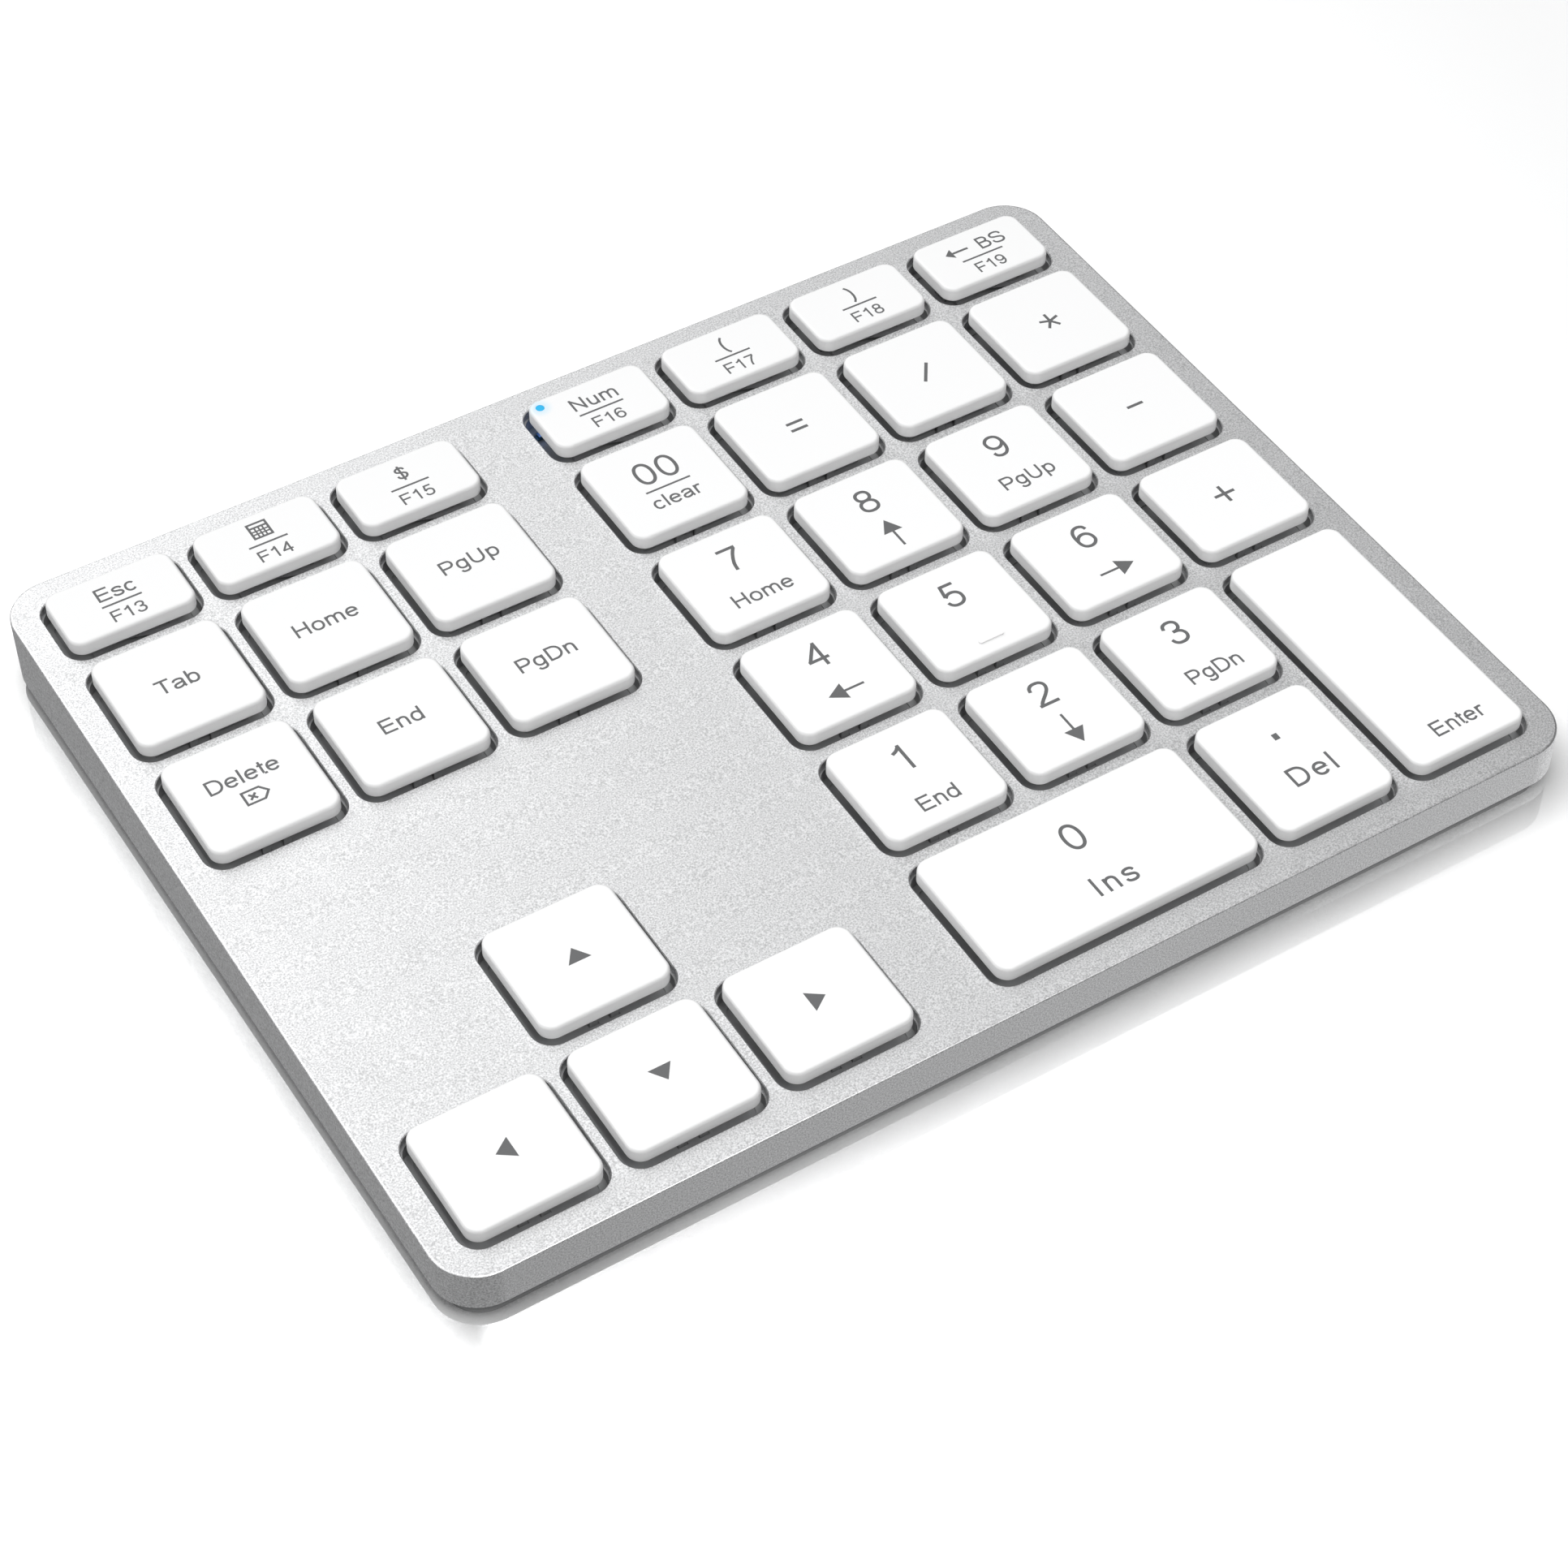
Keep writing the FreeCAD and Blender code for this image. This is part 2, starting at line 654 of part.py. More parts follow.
def make_key_liner(key):
    """Thin plastic wall under the deck's edge, with a flat ledge that frames the membrane."""
    def inset_block(inset, z0, z1):
        return rounded_block(key.left + inset, key.front + inset,
                             key.left + key.width - inset, key.front + key.depth - inset,
                             OPENING_CORNER_R - inset, z0, z1)

    ledge_top = LINER_BOTTOM + LINER_LEDGE_HEIGHT
    outside = inset_block(0, LINER_BOTTOM, LINER_TOP)
    above_ledge = inset_block(LINER_WALL, ledge_top, LINER_TOP + 1)
    window = inset_block(LINER_LEDGE, LINER_BOTTOM - 1, LINER_TOP + 1)
    return outside.cut(above_ledge.fuse(window))


def port_outline(grow, y0, length):
    """Stadium-shaped outline of the charging port, along Y."""
    half_width = 4.47 + grow
    half_height = 1.63 + grow
    z = port_z()
    face = Part.Face(rounded_wire(-half_width, -half_height, half_width, half_height,
                                  half_height - 0.02))
    solid = face.extrude(Vector(0, 0, length))
    solid.rotate(Vector(0, 0, 0), Vector(1, 0, 0), -90)
    solid.translate(Vector(PORT_X, y0, z))
    return solid


def port_z():
    return BOARD_BOTTOM + 0.95


def make_charging_port():
    """Metal shell with a back wall and the contact tongue inside it."""
    back = HALF_DEPTH - 7.7
    shell = port_outline(0, back, 7.6)
    mouth = port_outline(-0.3, back + 0.6, 8)
    z = port_z()
    tongue = box(PORT_X - 3.3, back + 0.3, z - 0.35, PORT_X + 3.3, back + 6.3, z + 0.35)
    return shell.cut(mouth).fuse(tongue).removeSplitter()


def make_main_board():
    """Board along the rear wall, notched for the charging port that sits in its thickness."""
    board = box(-17, 37, BOARD_BOTTOM, 46, HALF_DEPTH - WALL - 0.5, BOARD_TOP)
    notch = box(PORT_X - 4.65, HALF_DEPTH - 7.9, BOARD_BOTTOM - 1, PORT_X + 4.65, HALF_DEPTH, BOARD_TOP + 1)
    return board.cut(notch)


def make_wireless_controller():
    """Shielded radio and controller module with its aerial board."""
    can = rounded_block(24, 39, 38, 46.5, 0.5, BOARD_TOP + 0.02, BOARD_TOP + 1.2)
    rim = [edge for edge in can.Edges if edge.BoundBox.ZMin > BOARD_TOP + 1.1]
    return can.makeFillet(0.2, rim)


def make_tail_connector():
    front = TAIL_SLOT_BACK + 3.8
    half = TAIL_WIDTH / 2 + 1
    body = box(STRIP_X - half, front, BOARD_TOP + 0.02, STRIP_X + half, front + 3, BOARD_TOP + 1.05)
    mouth = box(STRIP_X - TAIL_WIDTH / 2 - 0.1, front - 1, BOARD_TOP + 0.4,
                STRIP_X + TAIL_WIDTH / 2 + 0.1, front + 2, BOARD_TOP + 0.7)
    return body.cut(mouth)


def make_battery():
    """Pouch cell with rounded sides and a sealed flap at the end where the leads start."""
    z0 = COVER_TOP + 0.12
    cell = rounded_block(BATTERY_X0, BATTERY_Y0, BATTERY_X1, BATTERY_Y1, 1.5, z0, BATTERY_TOP)
    cell = cell.makeFillet(0.7, [edge for edge in cell.Edges if edge.BoundBox.ZLength < 0.01])
    flap = box(BATTERY_X1 - 1, BATTERY_Y0 + 2, z0 + 0.3, BATTERY_X1 + 3.2, BATTERY_Y1 - 2, z0 + 1.2)
    return cell.fuse(flap).removeSplitter()


def make_battery_leads():
    """Two leads from the battery's flap to a plug on the main board."""
    lead_r = 0.4
    z_cell = COVER_TOP + 1.0
    z_plug = BOARD_TOP + 0.8
    plug = box(-16.3, 44.2, BOARD_TOP + 0.03, -12.5, 48.8, BOARD_TOP + 1.6)
    pieces = [plug]
    for offset in (-1.0, 1.0):
        route = [
            Vector(BATTERY_X1 + 3.25, 26.0 + offset, z_cell),
            Vector(-19.0 + offset, 26.0 + offset, z_cell),
            Vector(-19.0 + offset, 40.0 - offset, z_plug),
            Vector(-19.0 + offset, 46.5 - offset, z_plug),
            Vector(-16.32, 46.5 - offset, z_plug),
        ]
        pieces.append(bent_wire(route, lead_r))
    return Part.makeCompound(pieces)


def make_power_switch_body():
    """Slide switch on the board, open at the back for its slider."""
    y1 = HALF_DEPTH - WALL - 0.6
    body = box(SWITCH_X - 3.4, y1 - 2.8, BOARD_TOP + 0.02, SWITCH_X + 3.4, y1, BOARD_TOP + 1.5)
    half = 0.8 + SWITCH_TRAVEL / 2 + 0.15
    channel = box(SWITCH_X - half, y1 - 1.6, BOARD_TOP + 0.3, SWITCH_X + half, y1 + 1, BOARD_TOP + 1.2)
    return body.cut(channel)


def make_power_switch_slider():
    """Finger piece at its off end: a grooved block in the wall's slot and a tongue in the switch."""
    x = SWITCH_X - SWITCH_TRAVEL / 2
    z = BOARD_TOP + 0.75
    wall_inside = HALF_DEPTH - WALL
    block = box(x - 1.1, wall_inside - 0.35, z - 0.65, x + 1.1, HALF_DEPTH - 0.15, z + 0.65)
    for offset in (-0.6, 0.0, 0.6):
        groove = box(x + offset - 0.12, HALF_DEPTH - 0.35, z - 1, x + offset + 0.12, HALF_DEPTH, z + 1)
        block = block.cut(groove)
    tongue = box(x - 0.8, wall_inside - 2.0, z - 0.3, x + 0.8, wall_inside - 0.3, z + 0.3)
    return block.fuse(tongue).removeSplitter()


def make_pairing_switch():
    """Flat push switch on the underside of the board."""
    x, y = PAIRING_POSITION
    return box(x - 1.9, y - 1.9, PAIRING_SWITCH_FACE, x + 1.9, y + 1.9, BOARD_BOTTOM - 0.02)


def make_pairing_button():
    """Button in the bottom cover with a flange that keeps it in."""
    x, y = PAIRING_POSITION
    start = RIM_Z + 0.15
    stem = cylinder(x, y, start, 2.1, PAIRING_SWITCH_FACE - PAIRING_TRAVEL - 0.05 - start)
    flange = cylinder(x, y, COVER_TOP + 0.03, 2.7, 0.25)
    return stem.fuse(flange).removeSplitter()


def make_num_lock_led():
    """Surface-mount light on the membrane, under the window in the Num keycap."""
    x, y = light_position()
    z = MEMBRANE_TOP + 0.01
    base = box(x - 0.8, y - 0.4, z, x + 0.8, y + 0.4, z + 0.25)
    lens = box(x - 0.5, y - 0.4, z + 0.25, x + 0.5, y + 0.4, z + 0.6)
    return on_deck(base.fuse(lens).removeSplitter())


# ---- Write every sub-part ----

def main():
    os.makedirs("parts", exist_ok=True)
    for key in KEYS:
        save(make_keycap(key), "keycap_" + key.name)
    save(make_top_case(), "top_case")
    save(make_bottom_cover(), "bottom_cover")
    save(make_rubber_feet(), "rubber_feet")
    save(make_case_screws(), "case_screws")
    save(make_plate_screws(), "plate_screws")
    save(make_support_plate(), "support_plate")
    save(make_membrane(), "contact_membrane")
    save(make_membrane_tail(), "membrane_tail")
    save(on_deck(Part.makeCompound([make_dome(key) for key in KEYS])), "rubber_domes")
    save(on_deck(Part.makeCompound([make_outer_link(key) for key in KEYS])), "scissor_outer_links")
    save(on_deck(Part.makeCompound([make_inner_link(key) for key in KEYS])), "scissor_inner_links")
    save(Part.makeCompound([make_zero_stabiliser(), make_enter_stabiliser()]), "stabiliser_wires")
    save(on_deck(Part.makeCompound([make_key_liner(key) for key in KEYS])), "key_well_liners")
    save(make_light_window(), "num_light_window")
    save(make_num_lock_led(), "num_lock_led")
    save(make_main_board(), "main_board")
    save(make_wireless_controller(), "wireless_controller")
    save(make_tail_connector(), "tail_connector")
    save(make_battery(), "battery")
    save(make_battery_leads(), "battery_leads")
    save(make_charging_port(), "charging_port")
    save(make_power_switch_body(), "power_switch_body")
    save(make_power_switch_slider(), "power_switch_slider")
    save(make_pairing_switch(), "pairing_switch")
    save(make_pairing_button(), "pairing_button")


main()
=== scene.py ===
"""Looks of the numeric keypad: materials, printed legends, switch parts, camera and light."""

import json
import math

import bmesh
import bpy
import numpy as np
from mathutils import Matrix, Vector
from mathutils.geometry import delaunay_2d_cdt


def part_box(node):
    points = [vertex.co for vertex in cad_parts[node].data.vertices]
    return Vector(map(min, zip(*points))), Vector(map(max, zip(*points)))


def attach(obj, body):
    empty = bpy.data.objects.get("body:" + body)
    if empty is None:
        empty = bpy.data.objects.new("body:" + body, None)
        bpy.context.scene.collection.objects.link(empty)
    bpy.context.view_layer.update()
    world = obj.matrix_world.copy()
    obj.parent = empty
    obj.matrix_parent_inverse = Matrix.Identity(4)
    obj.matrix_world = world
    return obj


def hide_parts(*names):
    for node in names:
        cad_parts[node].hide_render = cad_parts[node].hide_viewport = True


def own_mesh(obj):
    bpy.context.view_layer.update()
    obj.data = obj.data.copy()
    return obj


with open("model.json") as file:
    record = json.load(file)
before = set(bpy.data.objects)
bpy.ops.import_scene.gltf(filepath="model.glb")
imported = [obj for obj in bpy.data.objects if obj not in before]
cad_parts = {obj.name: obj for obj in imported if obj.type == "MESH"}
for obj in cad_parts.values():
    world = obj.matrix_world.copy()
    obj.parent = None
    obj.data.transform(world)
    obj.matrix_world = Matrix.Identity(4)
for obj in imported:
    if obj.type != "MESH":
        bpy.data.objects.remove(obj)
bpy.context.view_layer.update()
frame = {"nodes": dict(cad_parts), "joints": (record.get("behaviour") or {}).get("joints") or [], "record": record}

MM = 0.001
CASE = "case"
TILT = math.radians(2.0)                 # slope of the deck
MEMBRANE_TOP = -3.10                     # millimetres under the deck's top face
INK_HEIGHT = 0.012                       # printed legends stand this much above a cap
INK_DEPTH = 0.02                         # and reach this far into it
STROKE = 0.133                           # stroke of the lettering, for a capital of height 1
LETTER_WIDTH = 1.025                     # the lettering is this much wider than its drawing

JOINTS = {joint["name"]: joint for joint in frame["joints"]}
KEY_NAMES = sorted(name[len("keycap_"):] for name in frame["nodes"] if name.startswith("keycap_"))


# ---- The deck frame: z = 0 on the sloping top face, x and y along it ----

DECK_TURN = Matrix.Rotation(TILT, 4, "X")


def turned_bounds(node):
    """Lowest and highest corner of a CAD node, measured along the sloping deck."""
    back = DECK_TURN.inverted()
    points = [back @ vertex.co for vertex in frame["nodes"][node].data.vertices]
    low = Vector(min(p[axis] for p in points) for axis in range(3))
    high = Vector(max(p[axis] for p in points) for axis in range(3))
    return low, high


DECK = DECK_TURN @ Matrix.Translation((0, 0, turned_bounds("top_case")[1].z))
DECK_NORMAL = DECK_TURN @ Vector((0, 0, 1))


class Key:
    """Place of one keycap on the deck, in millimetres."""

    def __init__(self, name):
        low, high = turned_bounds("keycap_" + name)
        self.name = name
        self.body = "key_" + name
        self.joint = self.body + "_press"
        self.x = (low.x + high.x) / 2 / MM
        self.y = (low.y + high.y) / 2 / MM
        self.width = (high.x - low.x) / MM
        self.depth = (high.y - low.y) / MM
        self.travel = JOINTS[self.joint]["range_m"][1] / MM

    def half_depth(self):
        return self.depth < 0.8 * self.width


KEYS = {name: Key(name) for name in KEY_NAMES}
CAP_TOP = (turned_bounds("keycap_4")[1].z - turned_bounds("top_case")[1].z) / MM


def new_object(name, mesh):
    obj = bpy.data.objects.new(name, mesh)
    bpy.context.scene.collection.objects.link(obj)
    return obj


def map_range(tree, source, start, end, low, high, curve="LINEAR"):
    """Add a node that maps start to end onto low to high."""
    node = tree.nodes.new("ShaderNodeMapRange")
    node.interpolation_type = curve
    for name, value in (("From Min", start), ("From Max", end), ("To Min", low), ("To Max", high)):
        node.inputs[name].default_value = value
    tree.links.new(source, node.inputs["Value"])
    return node.outputs["Result"]


def math_node(tree, operation, first, second):
    """Add a Math node; each operand is a number or the output of another node."""
    node = tree.nodes.new("ShaderNodeMath")
    node.operation = operation
    for socket, operand in zip(node.inputs, (first, second)):
        if isinstance(operand, float):
            socket.default_value = operand
        else:
            tree.links.new(operand, socket)
    return node.outputs[0]


# ---- Materials ----

class Shader:
    """A Principled material with grain made from noise in the object's own space."""

    def __init__(self, name, colour, roughness, metallic=0.0):
        self.material = bpy.data.materials.new(name)
        self.material.use_nodes = True
        self.tree = self.material.node_tree
        self.bsdf = self.tree.nodes["Principled BSDF"]
        self.bsdf.inputs["Base Color"].default_value = (*colour, 1)
        self.bsdf.inputs["Roughness"].default_value = roughness
        self.bsdf.inputs["Metallic"].default_value = metallic
        self.colour = colour
        coordinates = self.node("ShaderNodeTexCoord")
        self.place = coordinates.outputs["Object"]
        self.normal = coordinates.outputs["Normal"]

    def node(self, kind, **settings):
        made = self.tree.nodes.new(kind)
        for key, value in settings.items():
            setattr(made, key, value)
        return made

    def link(self, source, target):
        self.tree.links.new(source, target)

    def noise(self, size_mm, detail=2.0, stretch=(1, 1, 1)):
        """Noise whose grains are about size_mm across."""
        place = self.place
        if stretch != (1, 1, 1):
            mapping = self.node("ShaderNodeMapping")
            mapping.inputs["Scale"].default_value = stretch
            self.link(self.place, mapping.inputs["Vector"])
            place = mapping.outputs["Vector"]
        noise = self.node("ShaderNodeTexNoise")
        noise.inputs["Scale"].default_value = 1 / (size_mm * MM)
        noise.inputs["Detail"].default_value = detail
        self.link(place, noise.inputs["Vector"])
        return noise.outputs["Fac"]

    def spread(self, source, low, high, start=0.3, end=0.7):
        """Map a noise value onto low to high."""
        return map_range(self.tree, source, start, end, low, high)

    def tint(self, source, low, high):
        """Base colour that runs between low and high times the plain colour."""
        mix = self.node("ShaderNodeMix", data_type="RGBA")
        mix.inputs["A"].default_value = (*(min(1, c * low) for c in self.colour), 1)
        mix.inputs["B"].default_value = (*(min(1, c * high) for c in self.colour), 1)
        self.link(source, mix.inputs["Factor"])
        self.link(mix.outputs["Result"], self.bsdf.inputs["Base Color"])
        return mix.outputs["Result"]

    def facing_up(self):
        """Mask for the painted side shade: 1 on flat tops and 0 on side walls, with a quick change over the
        rounded edge between them.
        """
        split = self.node("ShaderNodeSeparateXYZ")
        self.link(self.normal, split.inputs[0])
        return map_range(self.tree, split.outputs["Z"], 0.70, 0.96, 0.0, 1.0, "SMOOTHSTEP")

    def rough(self, source, low, high):
        self.link(self.spread(source, low, high), self.bsdf.inputs["Roughness"])

    def bump(self, source, height_mm, strength=0.5):
        bump = self.node("ShaderNodeBump")
        bump.inputs["Strength"].default_value = strength
        bump.inputs["Distance"].default_value = height_mm * MM
        self.link(source, bump.inputs["Height"])
        self.link(bump.outputs["Normal"], self.bsdf.inputs["Normal"])


def blasted_aluminium():
    """Satin anodised metal: bright and dark specks from bead blasting."""
    shader = Shader("blasted_aluminium", (0.812, 0.814, 0.820), 0.42, metallic=1.0)
    fine = shader.noise(0.20, detail=3.0)
    broad = shader.noise(9.0)
    shader.tint(shader.spread(fine, 0, 1, 0.32, 0.66), 0.68, 1.20)
    shader.rough(broad, 0.40, 0.46)
    shader.bump(fine, 0.02, 0.35)
    return shader.material


CAP_WHITE = (0.92, 0.92, 0.92)
SIDE_PAINTED_SHADE = 0.88                         # painted shade: colour of a cap's side walls, as a share of its top


def keycap_plastic():
    """Satin white plastic with a very fine moulded texture, and painted shade that darkens the side walls."""
    shader = Shader("keycap_plastic", CAP_WHITE, 0.45)
    fine = shader.noise(0.16, detail=2.0)
    # painted shade: side walls darker than the top, chosen by how far the normal points up
    shader.tint(shader.facing_up(), SIDE_PAINTED_SHADE, 1.0)
    shader.rough(fine, 0.40, 0.52)
    shader.bump(fine, 0.006, 0.3)
    return shader.material


def num_keycap_plastic(window):
    """The same plastic, with painted shade on the side walls and the Num Lock light's blue glow painted into its
    colour round its window.
    """
    shader = Shader("num_keycap_plastic", CAP_WHITE, 0.45)
    fine = shader.noise(0.16, detail=2.0)
    shader.rough(fine, 0.40, 0.52)
    shader.bump(fine, 0.006, 0.3)
    distance = shader.node("ShaderNodeVectorMath", operation="DISTANCE")
    distance.inputs[1].default_value = window
    shader.link(shader.place, distance.inputs[0])
    # painted glow: the base colour turns pale blue within 2 mm of the window
    glow = map_range(shader.tree, distance.outputs["Value"], 0.4 * MM, 2.0 * MM, 1.0, 0.0, "SMOOTHERSTEP")
    mix = shader.node("ShaderNodeMix", data_type="RGBA")
    # painted shade on the side walls, as on the other caps
    shader.link(shader.tint(shader.facing_up(), SIDE_PAINTED_SHADE, 1.0), mix.inputs["A"])
    mix.inputs["B"].default_value = (0.70, 0.84, 0.92, 1)
    shader.link(glow, mix.inputs["Factor"])
    shader.link(mix.outputs["Result"], shader.bsdf.inputs["Base Color"])
    return shader.material


def legend_ink():
    """Grey pad-printed ink, a little uneven."""
    shader = Shader("legend_ink", (0.128, 0.130, 0.133), 0.55)
    patch = shader.noise(0.35)
    shader.tint(patch, 0.93, 1.07)
    shader.rough(patch, 0.5, 0.62)
    return shader.material


def grained(name, colour, roughness, metallic, grain_mm, contrast, height_mm):
    """Plain moulded, coated or rolled stuff with a grain of one size."""
    shader = Shader(name, colour, roughness, metallic)
    fine = shader.noise(grain_mm, detail=3.0)
    shader.tint(fine, 1 - contrast, 1 + contrast)
    shader.rough(fine, roughness - 0.06, roughness + 0.06)
    shader.bump(fine, height_mm, 0.4)
    return shader.material


def drawn_wire():
    """Spring steel with faint draw lines."""
    shader = Shader("wire_steel", (0.52, 0.52, 0.54), 0.3, metallic=1.0)
    lines = shader.noise(0.12, stretch=(0.05, 1, 1))
    shader.tint(lines, 0.85, 1.1)
    shader.rough(lines, 0.22, 0.36)
    return shader.material


def solder_mask():
    """Green board coating with faint copper tracks under it."""
    shader = Shader("board_laminate", (0.012, 0.13, 0.045), 0.3)
    tracks = shader.node("ShaderNodeTexBrick")
    tracks.inputs["Scale"].default_value = 1 / (4.5 * MM)
    tracks.inputs["Mortar Size"].default_value = 0.03
    tracks.inputs["Color1"].default_value = (0.012, 0.13, 0.045, 1)
    tracks.inputs["Color2"].default_value = (0.014, 0.15, 0.052, 1)
    tracks.inputs["Mortar"].default_value = (0.03, 0.26, 0.09, 1)
    shader.link(shader.place, tracks.inputs["Vector"])
    shader.link(tracks.outputs["Color"], shader.bsdf.inputs["Base Color"])
    shader.rough(shader.noise(0.8), 0.22, 0.38)
    return shader.material


def lit_window():
    """Clear plug over the Num Lock light, glowing, with a faintly cloudy tint."""
    shader = Shader("light_window", (0.002, 0.30, 0.60), 0.25)
    cloud = shader.noise(0.5)
    shader.tint(cloud, 0.9, 1.1)
    shader.bsdf.inputs["Emission Color"].default_value = (0.0, 0.40, 0.60, 1)
    shader.bsdf.inputs["Emission Strength"].default_value = 0.4
    return shader.material


def slot_materials():
    """One material for each material slot of the record."""
    made = {
        "case_aluminium": blasted_aluminium(),
        "keycap_plastic": keycap_plastic(),
        "light_window": lit_window(),
        "wire_steel": drawn_wire(),
        "board_laminate": solder_mask(),
    }
    plain = [
        # slot, colour, roughness, metallic, grain size, contrast, relief
        ("cover_plastic", (0.55, 0.56, 0.57), 0.50, 0, 0.30, 0.06, 0.015),
        ("foot_rubber", (0.055, 0.055, 0.058), 0.75, 0, 0.25, 0.15, 0.02),
        ("screw_steel", (0.50, 0.50, 0.51), 0.32, 1, 0.15, 0.08, 0.004),
        ("plate_steel", (0.34, 0.343, 0.35), 0.45, 0, 0.40, 0.08, 0.006),
        ("membrane_film", (0.34, 0.343, 0.35), 0.42, 0, 0.50, 0.08, 0.004),
        ("dome_rubber", (0.60, 0.60, 0.58), 0.50, 0, 0.30, 0.04, 0.006),
        ("link_plastic", (0.30, 0.30, 0.31), 0.42, 0, 0.25, 0.06, 0.006),
        ("liner_plastic", (0.42, 0.425, 0.43), 0.45, 0, 0.25, 0.06, 0.006),
        ("led_lens", (0.03, 0.12, 0.25), 0.20, 0, 0.20, 0.05, 0.002),
        ("shield_metal", (0.62, 0.62, 0.63), 0.30, 1, 0.35, 0.06, 0.004),
        ("connector_plastic", (0.68, 0.64, 0.52), 0.45, 0, 0.30, 0.04, 0.006),
        ("battery_wrap", (0.45, 0.47, 0.50), 0.35, 0.7, 1.20, 0.08, 0.03),
        ("lead_insulation", (0.32, 0.012, 0.01), 0.40, 0, 0.40, 0.08, 0.004),
        ("switch_plastic", (0.018, 0.018, 0.019), 0.50, 0, 0.20, 0.15, 0.008),
        ("button_plastic", (0.60, 0.60, 0.61), 0.50, 0, 0.25, 0.05, 0.010),
    ]
    for slot, *settings in plain:
        made[slot] = grained(slot, *settings)
    return made


def dress(obj, material):
    obj.data.materials.clear()
    obj.data.materials.append(material)


def dress_cad_nodes(materials):
    for part in frame["record"]["subparts"]:
        obj = frame["nodes"][part["node"]]
        dress(obj, materials[part["material_slot"]])
    low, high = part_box("num_light_window")
    window = Vector(((low.x + high.x) / 2, (low.y + high.y) / 2, high.z))
    dress(frame["nodes"]["keycap_num"], num_keycap_plastic(window))


# ---- Lettering: every character is a few strokes in a box whose capitals are 1 high ----

def smooth(*points, steps=6):
    """Curve through the points."""
    ends = [points[0], *points, points[-1]]
    path = []
    for a, b, c, d in zip(ends, ends[1:], ends[2:], ends[3:]):
        for step in range(steps):
            t = step / steps
            path.append(tuple(
                0.5 * (2 * q + (r - p) * t + (2 * p - 5 * q + 4 * r - s) * t * t
                       + (3 * q - p - 3 * r + s) * t ** 3)
                for p, q, r, s in zip(a, b, c, d)))
    return path + [points[-1]]


def arc(x, y, rx, ry, start, end, square=2.2):
    """Arc of a slightly squared ellipse, angles in degrees, as the bowls of letters are drawn."""
    count = max(6, int(abs(end - start) / 10))
    path = []
    for i in range(count + 1):
        angle = math.radians(start + (end - start) * i / count)
        c, s = math.cos(angle), math.sin(angle)
        path.append((x + rx * math.copysign(abs(c) ** (2 / square), c),
                     y + ry * math.copysign(abs(s) ** (2 / square), s)))
    return path


def ring(x, y, rx, ry):
    return arc(x, y, rx, ry, 0, 360)


def half_turn(strokes, x, y):
    return [[(2 * x - px, 2 * y - py) for px, py in stroke] for stroke in strokes]


def mirror(strokes, x):
    return [[(2 * x - px, py) for px, py in stroke] for stroke in strokes]


def arch(left, right):
    """The shoulder of n and m, down to the baseline."""
    across = right - left
    return smooth((left, .40), (left + .05 * across, .53), (left + .25 * across, .635),
                  (left + .52 * across, .667), (left + .80 * across, .63), (right - .02, .54),
                  (right, .42)) + [(right, 0)]


STEM = .15
LOWER_N = [[(STEM, 0), (STEM, .715)], arch(STEM, .615)]
SIX = [smooth((.63, .755), (.585, .87), (.50, .925), (.40, .94), (.27, .90), (.17, .78), (.125, .62),
              (.118, .45), (.14, .24), (.23, .105), (.385, .055), (.54, .10), (.64, .22), (.652, .33),
              (.625, .46), (.53, .565), (.40, .60), (.26, .56), (.155, .45), (.12, .36))]
BRACKET = [smooth((.36, 1.0), (.24, .82), (.165, .58), (.15, .355), (.165, .13), (.24, -.11), (.36, -.29))]

